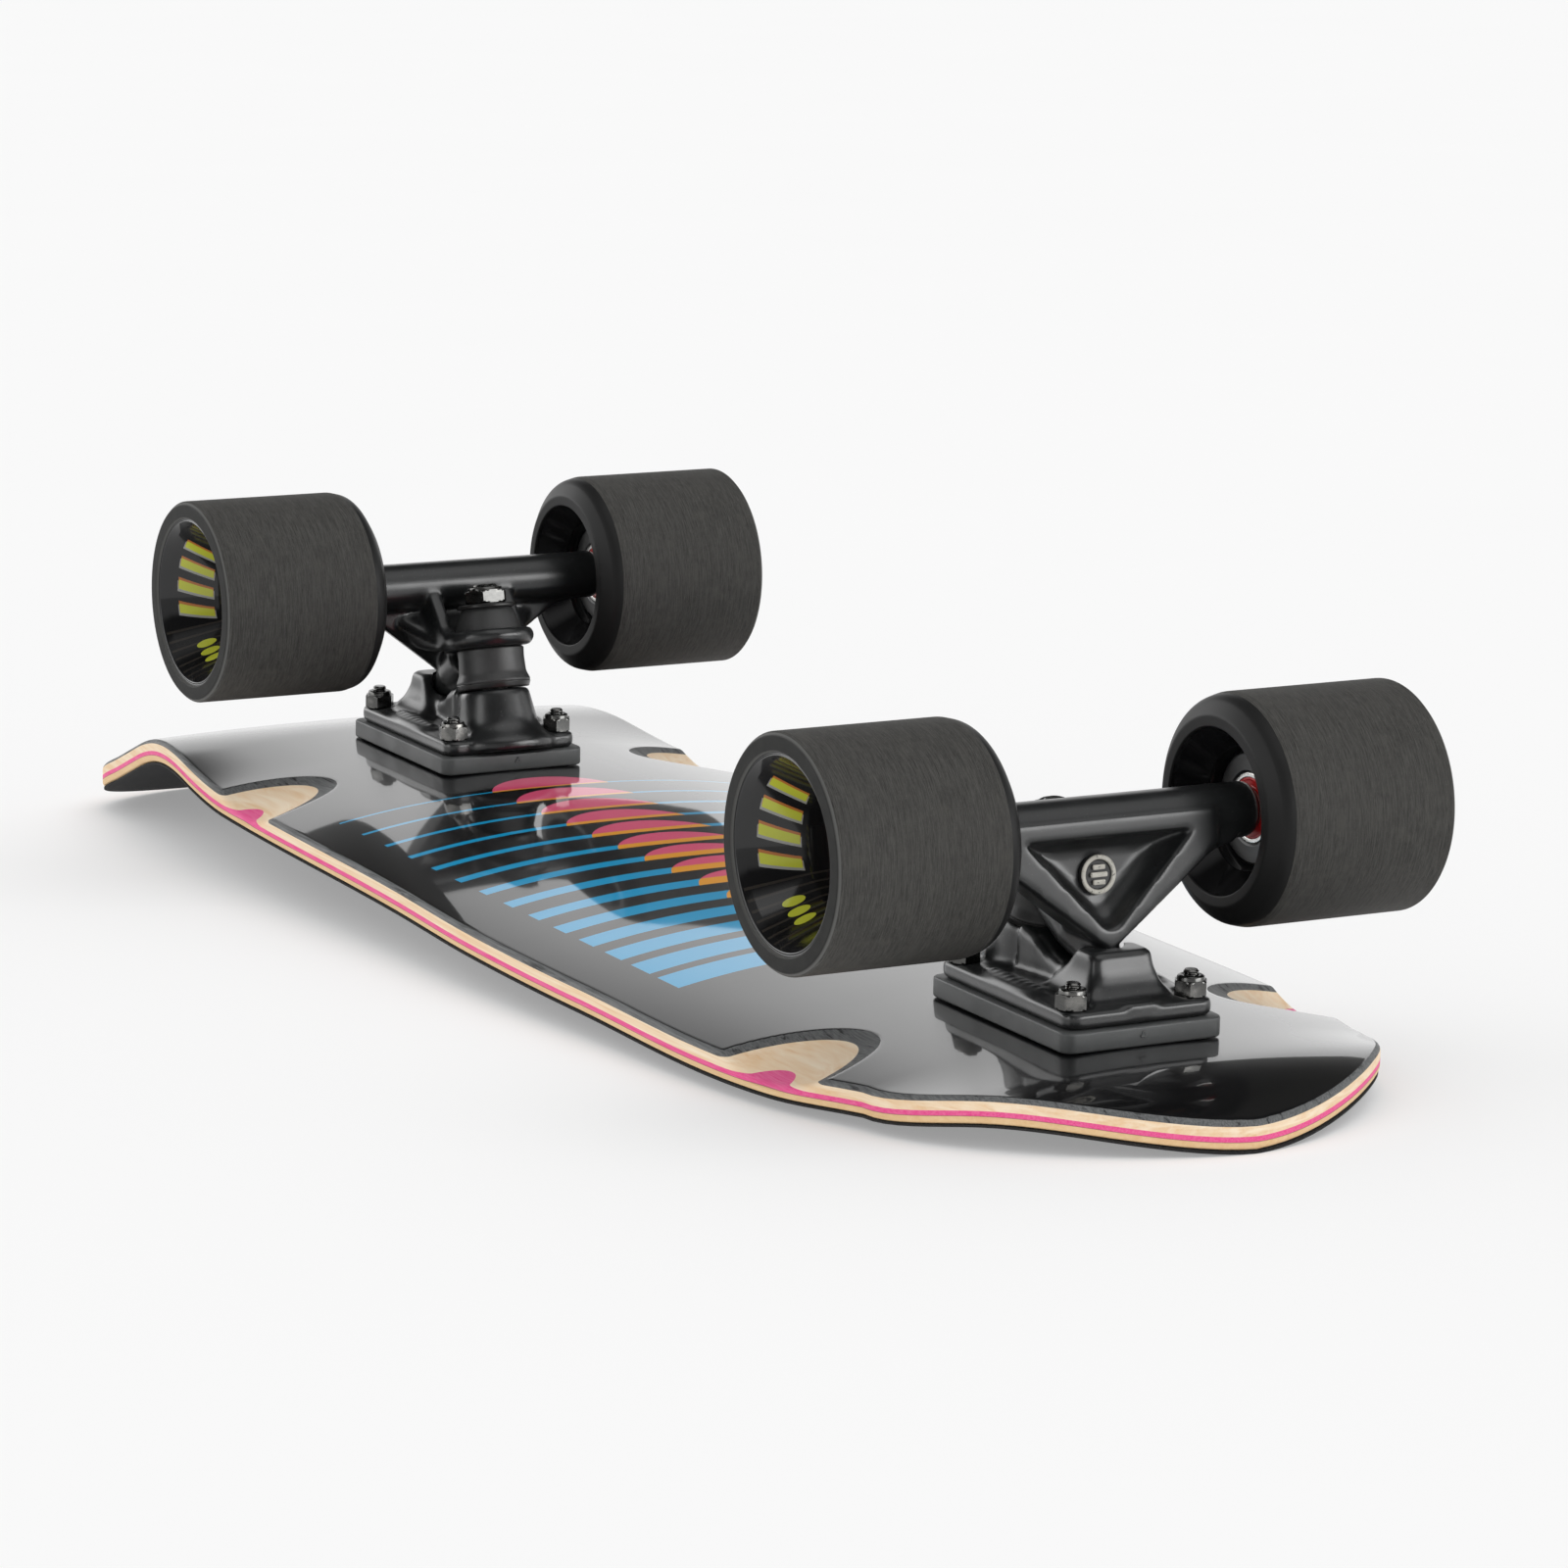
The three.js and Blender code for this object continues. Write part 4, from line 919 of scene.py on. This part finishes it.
def buildBaseplate(s):
    foot = riserBox[0][2] - 0.1
    top = foot - s["thickness"]
    x0, x1 = s["centre"] - s["length"] / 2, s["centre"] + s["length"] / 2
    w = s["width"] / 2
    plate = pushed(evenPath(rectRing(x0, x1, -w, w, s["corner"]), 6, True), top, foot, 1.3)
    # a low raised field inside the plate's rim
    field = pushed(evenPath(rectRing(x0 + 4.5, x1 - 3.0, -w + 4.0, w - 4.0, 6), 6, True), top - 0.9, foot - 1,
                   0.8)
    reach = (foot - seatHeight) / math.cos(kingpinTilt) + 2
    narrow, wide, start = s["towerTop"], s["towerFoot"], s["towerStart"]
    towerPath = roundedPath([(0, start, 0), (narrow - 0.6, start, 0.4), (narrow, start + 1.2, 1),
                             (wide - 0.9, reach - 9, 8), (wide + 4.5, reach - 3.5, 3), (wide + 4, reach, 0),
                             (0, reach, 0)])
    tower = turned(evenPath(towerPath, 3), 72)
    tower = (alongKingpin(tower[0]), tower[1])
    h = s["housingHalf"]
    high, low = s["housingTop"], s["housingFoot"]
    # the housing's section grows towards its foot: (height above the plate's foot, outer end, half width, corner,
    # inner end)
    sections = ((19.4, high - 1.2, h - 1.2, 2.6, 5), (18.4, high, h, 2.6, 4), (13.5, high + 1.2, h + 0.8, 3, 0),
                (9.5, high + 3.0, h + 2.2, 3, -4), (6.8, high + 5.0, h + 4.4, 3, -6),
                (5.4, low + 1, h + 7.5, 3, -8), (2.0, low + 1.2, h + 7.5, 3, -8))
    housing = lofted([np.column_stack([spacedRing(rectRing(3.5 + a, o, -v, v, r), 72), np.full(72, foot - z)])
                      for z, o, v, r, a in sections])
    # the saddle dips between tower and housing
    saddle = lofted([np.column_stack([np.full(72, u), spacedRing(rectRing(-v, v, zt, foot - 2, 3), 72)])
                     for u, v, zt in ((-22, 12.5, 70.0), (-14, 11.5, 72.5), (-8, 10.5, 76.5), (-2, 10, 78.2),
                                      (3, 10, 77.0), (8, 10.2, 73.5), (12, 10.4, 71.2))])
    bosses = []
    # oval panels on both long sides, each with a row of small ribs
    for sign in (1, -1):
        angle = np.linspace(0, 2 * np.pi, 48, endpoint=False)
        lens = np.stack([s["centre"] + 19 * np.cos(angle), sign * (w - 5.6) + 4.4 * np.sin(angle)], -1)
        bosses.append(pushed(lens, top - 1.3, foot - 1, 0.6))
        for k in range(-4, 5):
            tick = rectRing(s["centre"] + k * 3.4 - 0.9, s["centre"] + k * 3.4 + 0.9,
                            sign * (w - 5.6) - 2.2 + abs(k) * 0.25, sign * (w - 5.6) + 2.2 - abs(k) * 0.25, 0.4)
            bosses.append(pushed(tick, top - 2.3, foot - 1, 0.3))
    # thickened bump in the middle of the outer edge
    bosses.append(pushed(rectRing(x1 - 6, x1 + 0.2, -6.5, 6.5, 2.8), top - 1.1, foot - 1, 0.9))
    socket = turned(roundedPath([(0, s["cupAt"] - 14.0, 0), (s["cupRadius"], s["cupAt"] - 14, 0),
                                 (s["cupRadius"], s["cupAt"] + 7.3, 3.5), (0, s["cupAt"] + 7.3, 0)]), 48)
    socket = (alongPivot(socket[0]), socket[1])
    cutters = [socket]
    for along in (1, -1):
        for side in (1, -1):
            well = turned(roundedPath([(0, top - 16, 0), (6.4, top - 16, 0), (6.4, top - 0.05, 0.4),
                                       (0, top - 0.05, 0)]), 48)
            shift = np.array([s["centre"] + along * s["boltAlong"] / 2, side * s["boltAcross"] / 2, 0])
            cutters.append((well[0] + shift, well[1]))
    return castFrom("baseplate", [plate, field, tower, housing, saddle] + bosses, cutters, 0.8, 5)


def castPaint():
    material, shader, place = newMaterial("castPaint", Coat_Weight=0.25, Coat_Roughness=0.25)
    orange = place.noise(520, 3, 0.55)
    patch = place.noise(70, 4)
    dust = place.noise(1500, 1).ease(0.70, 0.76)
    color = patch.spread().mixColor(rgb(0.007, 0.0075, 0.0078), rgb(0.013, 0.014, 0.0145))
    color = (dust * 0.12).mixColor(color, rgb(0.3, 0.3, 0.3))
    feed(shader, Base_Color=color, Roughness=patch.spread(0.27, 0.38),
         Normal=orange.bump(0.00006, 0.35))
    return material


def badgePaint():
    material, shader, place = newMaterial("badgePaint", Roughness=0.5)
    raised = attribute(place, "rise").ease(1.35, 1.6)
    chip = place.noise(900, 4, 0.65).ease(0.60, 0.66)
    tone = place.noise(300, 3).spread().mixColor(rgb(0.52, 0.50, 0.44), rgb(0.64, 0.62, 0.56))
    feed(shader, Base_Color=(raised * (1 - chip * 0.8)).mixColor(rgb(0.02, 0.02, 0.02), tone),
         Normal=place.noise(700, 3).bump(0.00008, 0.5))
    return material


truckPaint = castPaint()
badge = badgePaint()
riserMould = plainSheen("riserMould", rgb(0.050, 0.053, 0.053), rgb(0.074, 0.077, 0.077), 0.42, 0.56,
                        bumpScale=1400.0, bumpDistance=0.00005)
bushingRubber = plainSheen("bushingRubber", rgb(0.020, 0.021, 0.021), rgb(0.034, 0.034, 0.034), 0.36, 0.5)
washerPaint = plainSheen("washerPaint", rgb(0.012, 0.012, 0.012), rgb(0.022, 0.022, 0.021), 0.25, 0.38, 0.3)
cupRubber = plainSheen("cupRubber", rgb(0.014, 0.014, 0.014), rgb(0.024, 0.024, 0.024), 0.5, 0.65)


def darkSteel():
    material, shader, place = newMaterial("darkSteel", Metallic=1.0)
    patch, lines = place.noise(160, 3, 0.5), place.stretched(1, 1, 4).noise(400, 2)
    color = patch.ease(0.45, 0.7).mixColor(rgb(0.10, 0.10, 0.097), rgb(0.21, 0.205, 0.195))
    feed(shader, Base_Color=color, Roughness=lines.spread(0.16, 0.28),
         Normal=patch.bump(0.00001, 0.2))
    return material


fastener = darkSteel()
hangerMesh, plateMesh = buildHanger(hangerShape), buildBaseplate(plateShape)
print("castings:", len(hangerMesh.polygons), len(plateMesh.polygons), "faces")

stack = {
    "ring": 5.6, "gap": 0.3, "boardBushing": 12.7, "boardRadius": 12.6, "roadBushing": 8.2, "roadTop": 9.4,
    "roadFoot": 11.9, "boardWasher": 13.5, "boardWasherThick": 1.7, "roadWasher": 10.8, "roadWasherThick": 1.4,
    "kingpin": 4.76, "nutFlats": 14.3, "nut": 5.8, "beyondNut": 1.0,
}


def buildKingpinStack(end, s):
    def add(surface, piece, material, slot, nodes, body="board"):
        mesh = meshFrom(f"{end}_{piece}", onTruck(alongKingpin(surface[0]), end), surface[1])
        return showPiece(mesh, f"{end}_{piece}", material, body, [f"{end}_{n}" for n in nodes])

    bore = s["kingpin"] + 0.3
    low, high = s["ring"] / 2, s["ring"] / 2 + s["gap"] + s["boardBushing"] + s["gap"]
    r = s["boardRadius"]
    barrel = roundedPath([(bore, low, 0), (r - 1.6, low, 0), (r - 0.5, low + 0.6, 0.8),
                          (r - 0.7, (low + high) / 2 - 3, 8), (r - 0.4, high - 4.0, 5), (r + 0.9, high - 1.0, 1.0),
                          (r + 0.4, high, 0.3), (bore, high, 0)], 6)
    barrel = turned(evenPath(barrel, 1.5, True), 80, True)
    barrel = add(barrel, "barrel_bushing", bushingRubber, "bushing", ["boardside_bushing"], None)
    squeeze(barrel)
    low = -s["ring"] / 2 + 1.0
    high = -s["ring"] / 2 - 2 * s["gap"] - s["roadBushing"]
    cone = roundedPath([(bore, low, 0), (s["roadFoot"] - 0.4, low, 0.3), (s["roadFoot"] + 0.3, low - 1.6, 1.0),
                        (s["roadTop"] + 0.2, high + 1.2, 1.2), (s["roadTop"] - 0.4, high, 0.5), (bore, high, 0)], 6)
    cone = turned(evenPath(cone, 1.5, True), 80, True)
    cone = add(cone, "cone_bushing", bushingRubber, "bushing", ["roadside_bushing"], None)
    squeeze(cone)
    start = s["ring"] / 2 + 2 * s["gap"] + s["boardBushing"]
    w, t = s["boardWasher"], s["boardWasherThick"]
    saucer = turnedSection([(bore, start, 0.2), (w - 2.4, start, 0.8), (w - 0.9, start - 0.75, 0.5),
                            (w, start - 0.35, 0.3), (w - 0.7, start + t, 0.7), (bore, start + t, 0.2)], 5, 80)
    add(saucer, "flared_washer", washerPaint, "dark_washer", ["boardside_washer"])
    start = -s["ring"] / 2 - 2 * s["gap"] - s["roadBushing"]
    w, t = s["roadWasher"], s["roadWasherThick"]
    cap = turnedSection([(bore, start, 0.2), (w - 0.8, start, 0.4), (w, start + 0.5, 0.4),
                         (w - 0.3, start - t, 0.6), (bore, start - t, 0.2)], 5, 80)
    add(cap, "top_washer", washerPaint, "dark_washer", ["roadside_washer"])
    nutStart = start - t - s["gap"]
    nutEnd = nutStart - s["nut"]
    nut = hexNutSurface(s["nutFlats"], s["kingpin"] + 0.1, nutEnd + 1.2, nutStart, 0.02)
    hole = s["kingpin"] + 0.1
    collar = turnedSection([(hole, nutEnd + 1.3, 0), (6.6, nutEnd + 1.3, 0), (6.2, nutEnd, 0.6),
                            (hole, nutEnd, 0.3)], 4, 72)
    add(together(nut, collar), "lock_nut", fastener, "dark_fastener", ["kingpin_nut"])
    high = (riserBox[0][2] - 0.1 - seatHeight) / math.cos(kingpinTilt) - 3.4  # inside the tower, short of the riser
    low = nutEnd - s["beyondNut"]
    pin = threadedRod(s["kingpin"], low, high, 1.06, 0.45, low + 0.3, -s["ring"] / 2)
    add(pin, "king_bolt", fastener, "dark_fastener", ["kingpin"])


# Rubber held at its washer by the board and at the ring by the truck. This only bakes its placement into its mesh,
# and it rides with no body.
def squeeze(obj):
    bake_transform(obj)


hardware = {"bolt": 2.4, "pitch": 0.8, "nutFlats": 9.5, "nut": 6.0, "beyondNut": 1.6, "head": 4.6, "headDepth": 2.4}


# A countersunk bolt head with a cross recess: its top dips wherever the turn is near one of four arms.
def boltHead(radius, depth, shank, top, foot):
    radii = np.array([0, 0.35, 0.7, 1.0, 1.3, 1.6, 1.9, 2.2, 2.6, 3.2, 3.8, 4.3])
    heights = np.full(len(radii), top)
    face = np.stack([radii, heights], -1)
    lower = np.array([[radius, top - 0.35], [shank, top - depth], [shank, foot], [0, foot]])
    points, quads = turned(np.vstack([face, [[radius, top - 0.08]], lower]), 96)
    x, y, z = points.T
    arm = np.minimum(np.abs(x), np.abs(y))
    r = np.hypot(x, y)
    dip = (1 - smooth(arm, 0.38, 0.6)) * (1 - smooth(r, 2.1, 2.5)) * (z > top - 0.01)
    return np.stack([x, y, z - 1.3 * dip], -1), quads


def buildHardware(end, s, plate):
    top = riserBox[0][2] - 0.1 - plate["thickness"]
    number = 1
    for along in (1, -1):
        for side in (1, -1):
            x, y = plate["centre"] + along * plate["boltAlong"] / 2, side * plate["boltAcross"] / 2
            shift = np.array([x, y, 0])
            nutHigh, nutLow = top - 0.15, top - 0.3 - s["nut"]
            worldX = onTruck(shift[None], end)[0][0]
            headTop = (float(underside(np.array(worldX), np.array(y))) + deckShape["thickness"]
                       + deckShape["grip"] + 0.12)
            tip = nutLow - s["beyondNut"]
            rod = threadedRod(s["bolt"], tip, top + 4, s["pitch"], 0.35, tip + 0.2, top, 40, 0.5)
            head = boltHead(s["head"], s["headDepth"], s["bolt"] - 0.02, headTop, top + 3)
            points, quads = together(rod, head)
            name = f"{end}_deck_bolt_{number}"
            mesh = meshFrom(name, onTruck(points + shift, end), quads)
            showPiece(mesh, name, fastener, "board", [f"{end}_bolt_{number}"])
            turn = 0.35 + 0.9 * number  # no two nuts of one truck stand alike
            hole = s["bolt"] + 0.05
            nut = hexNutSurface(s["nutFlats"], hole, nutLow + 1.5, nutHigh, 0.03)
            collar = turnedSection([(hole, nutLow + 1.6, 0), (4.3, nutLow + 1.6, 0), (4.1, nutLow + 0.2, 0.6),
                                    (3.3, nutLow, 0.3), (hole, nutLow, 0.2)], 4, 60)
            points, quads = together(nut, collar)
            c, k = math.cos(turn), math.sin(turn)
            points = points @ np.array([[c, k, 0], [-k, c, 0], [0, 0, 1]])
            name = f"{end}_nylon_nut_{number}"
            mesh = meshFrom(name, onTruck(points + shift, end), quads)
            showPiece(mesh, name, fastener, "board", [f"{end}_locknut_{number}"])
            number += 1


riserShape = {"length": 81.0, "width": 55.5, "corner": 4.0, "edge": 0.7}


def buildRiser(end, s):
    low, high = riserBox[0][2], riserBox[1][2]
    x0, x1 = plateShape["centre"] - s["length"] / 2, plateShape["centre"] + s["length"] / 2
    w = s["width"] / 2
    slab = pushed(evenPath(rectRing(x0, x1, -w, w, s["corner"], 8), 5, True), low, high, s["edge"])
    # the gate where it was moulded, a small broken nub on the outer and inner edges
    gates = []
    for x, turn in ((x1, 1), (x0, -1)):
        angle = np.linspace(0, 2 * np.pi, 24, endpoint=False)
        ring = np.stack([np.cos(angle), np.sin(angle)], -1)
        wobble = 1 + 0.25 * np.sin(3 * angle)[:, None]
        gates.append(lofted([np.column_stack([np.full(24, x + turn * o), 1.0 + ring[:, 0] * r * wobble[:, 0],
                                              (low + high) / 2 - 0.6 + ring[:, 1] * r * wobble[:, 0]])
                             for o, r in ((-0.8, 1.0), (0.1, 1.0), (0.35, 0.8), (0.3, 0.3))]))
    points, quads = together(slab, *gates)
    mesh = meshFrom(f"{end}_riser_block", onTruck(points, end), quads)
    showPiece(mesh, f"{end}_riser_block", riserMould, "board", [f"{end}_riser_pad"], 40)


def buildAxle(end):
    reach = 1000 * float(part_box(f"{end}_axle")[1].y)
    half = threadedRod(4.0, 0.0, reach, 1.0, 0.4, reach - 9, reach - 0.5, 56, 0.8)
    points, quads = together(half, (half[0] * np.array([1, 1, -1]), half[1][:, ::-1]))
    # along Z as made, then laid across the board at the axle's height
    points = np.stack([points[:, 0], points[:, 2], axleHeight + points[:, 1]], -1)
    mesh = meshFrom(f"{end}_axle_rod", onTruck(points, end), quads)
    showPiece(mesh, f"{end}_axle_rod", axleSteel, f"{end}_truck", [f"{end}_axle"])


# A plain round badge in the web's pocket: a domed disc with a raised ring and three bars.
def buildBadge(end, s):
    disc = turned(roundedPath([(0, 1.0, 0), (4.3, 1.0, 0.3), (4.8, 1.9, 0.3), (6.0, 1.9, 0.5), (6.3, 0.2, 0),
                               (0, 0.2, 0)]), 64)
    bars = [pushed(rectRing(-2.9 + abs(k) * 0.8, 2.9 - abs(k) * 0.8, k * 2.3 - 0.75, k * 2.3 + 0.75, 0.4),
                   0.6, 2.1, 0.25) for k in (-1, 0, 1)]
    points, quads = together(disc, *bars)
    v, w, u = points.T
    rise = u.copy()
    w = w + 14.2
    u = u - s["pocketDepth"] + 0.1
    c, k = math.cos(s["lean"]), math.sin(s["lean"])
    points = np.stack([s["faceOut"] + u * c + w * k, v, axleHeight + w * c - u * k], -1)
    mesh = meshFrom(f"{end}_badge", onTruck(points, end), quads, {"rise": rise})
    showPiece(mesh, f"{end}_badge", badge, f"{end}_truck")


for end in ends:
    for mesh, piece, body, node in ((hangerMesh, "cast_hanger", f"{end}_truck", "hanger"),
                                    (plateMesh, "cast_plate", "board", "baseplate")):
        name = f"{end}_{piece}"
        showPiece(placedCast(mesh, name, end), name, truckPaint, body, [f"{end}_{node}"], 60)
    buildKingpinStack(end, stack)
    buildHardware(end, hardware, plateShape)
    buildRiser(end, riserShape)
    buildAxle(end)
    buildBadge(end, hangerShape)
    frame["nodes"][f"{end}_pivot_cup"].data.materials.clear()
    frame["nodes"][f"{end}_pivot_cup"].data.materials.append(cupRubber)
print("trucks built")


# The surface the board lies on upside down, and the ground it stands on for views from above.
studio = {
    "reach": 70.0, "paper": rgb(0.632, 0.632, 0.632), "glow": 0.29, "ambient": 0.84, "sun": 0.70,
    "sunAngle": math.radians(60), "keyTravel": (-0.34, 0.21, 1.0), "fillTravel": (-0.2, -0.3, -1.0), "seen": 0.947,
    "dark": 0.03, "sweep": 1.12, "nearSweep": 0.5, "rightBox": 6.0, "leftBox": 2.6, "overhead": 0.35,
}


# The line of one slope that touches the grip on both halves of the board.
def restLine(s=deckShape):
    x = np.linspace(tailEnd + 1, noseEnd - 1, 400)[:, None]
    y = halfWidth(x) * np.linspace(-1, 1, 41)[None, :]
    top = (underside(x, y) + (s["thickness"] + s["grip"]) * liftAt(x)).max(1)
    x = x[:, 0]
    low, high = -0.2, 0.2
    for _ in range(40):
        slope = (low + high) / 2
        over = top - slope * x
        noseWins = over[x > 0].max() > over[x < 0].max()
        low, high = (slope, high) if noseWins else (low, slope)
    return slope, (top - slope * x).max()


def paperMaterial(tone, glow):
    material, shader, place = newMaterial("paper", Roughness=0.95, Specular_IOR_Level=0.0, Emission_Strength=glow,
                                          Emission_Color=rgb(1, 1, 1))
    tree = material.node_tree
    darker = rgb(*(c * 0.995 for c in tone[:3]))
    mottle = place.noise(3, 3).spread().mixColor(tone, darker)
    feed(shader, Base_Color=mottle)
    behind = place.node("ShaderNodeNewGeometry", {}, {}, "Backfacing")
    clear = place.node("ShaderNodeBsdfTransparent")
    mix = place.node("ShaderNodeMixShader", {}, {0: behind, 1: Wire(tree, shader.outputs[0]), 2: clear})
    tree.links.new(mix.socket, tree.nodes["Material Output"].inputs["Surface"])
    return material


def stagePlane(name, height, slope, facesDown, reach, material):
    corner = np.array([[-1, -1], [1, -1], [1, 1], [-1, 1]]) * reach
    points = [(x, y, height + slope * x) for x, y in corner]
    mesh = bpy.data.meshes.new(name)
    mesh.from_pydata(points, [], [(0, 3, 2, 1) if facesDown else (0, 1, 2, 3)])
    mesh.materials.append(material)
    obj = bpy.data.objects.new(name, mesh)
    scene.collection.objects.link(obj)
    obj.visible_shadow = False
    return obj


def buildStage(s):
    slope, height = restLine()
    paper = paperMaterial(s["paper"], s["glow"])
    stagePlane("floor_under_grip", (height + 0.2) * 0.001, slope, True, s["reach"], paper)
    ground = stagePlane("ground", -0.0002, 0.0, False, s["reach"], paper)
    ground.visible_diffuse = ground.visible_glossy = ground.visible_transmission = False
    world = bpy.data.worlds.new("studio")
    world.use_nodes = True
    tree = world.node_tree
    light = tree.nodes["Background"]
    direction = Wire(tree, tree.nodes.new("ShaderNodeTexCoord").outputs["Generated"])
    x, y, z = direction.axes()
    # heading towards the camera's side, to its right, and away from the surface the board lies on
    near, right, up = x * 0.876 + y * 0.482, x * 0.482 - y * 0.876, 0 - z
    sweep = up.ease(0.52, 0.36) * near.ease(0.3, -0.3).scaled(0, 1, s["nearSweep"], s["sweep"])
    rightBox = near.ease(-0.1, 0.15) * right.ease(0.52, 0.70) * up.ease(-0.14, -0.02) * up.ease(0.50, 0.36)
    leftBox = right.ease(-0.50, -0.72) * up.ease(0.0, 0.12) * up.ease(0.68, 0.52)
    overhead = up.ease(0.72, 0.84) * near.ease(-0.2, 0.2)
    boxes = rightBox * s["rightBox"] + leftBox * s["leftBox"] + overhead * s["overhead"]
    mirrored = (sweep + boxes).math("MAXIMUM", s["dark"])
    path = direction.node("ShaderNodeLightPath", {}, {}, "Is Glossy Ray")
    seen = direction.node("ShaderNodeLightPath", {}, {}, "Is Camera Ray")
    level = path * mirrored + (1 - path) * (s["ambient"] + seen * (s["seen"] - s["ambient"]))
    light.inputs["Color"].default_value = rgb(1, 1, 1)
    tree.links.new(level.socket, light.inputs["Strength"])
    scene.world = world
    for name, travel in (("key_for_underside", s["keyTravel"]), ("key_for_top", s["fillTravel"])):
        light = bpy.data.lights.new(name, "SUN")
        light.energy, light.angle = s["sun"], s["sunAngle"]
        lamp = bpy.data.objects.new(name, light)
        scene.collection.objects.link(lamp)
        lamp.rotation_mode = "QUATERNION"
        lamp.rotation_quaternion = Vector(travel).to_track_quat("-Z", "Y")
    scene.view_settings.view_transform = "Standard"
    scene.view_settings.look = "None"


buildStage(studio)
print("stage and lights set")
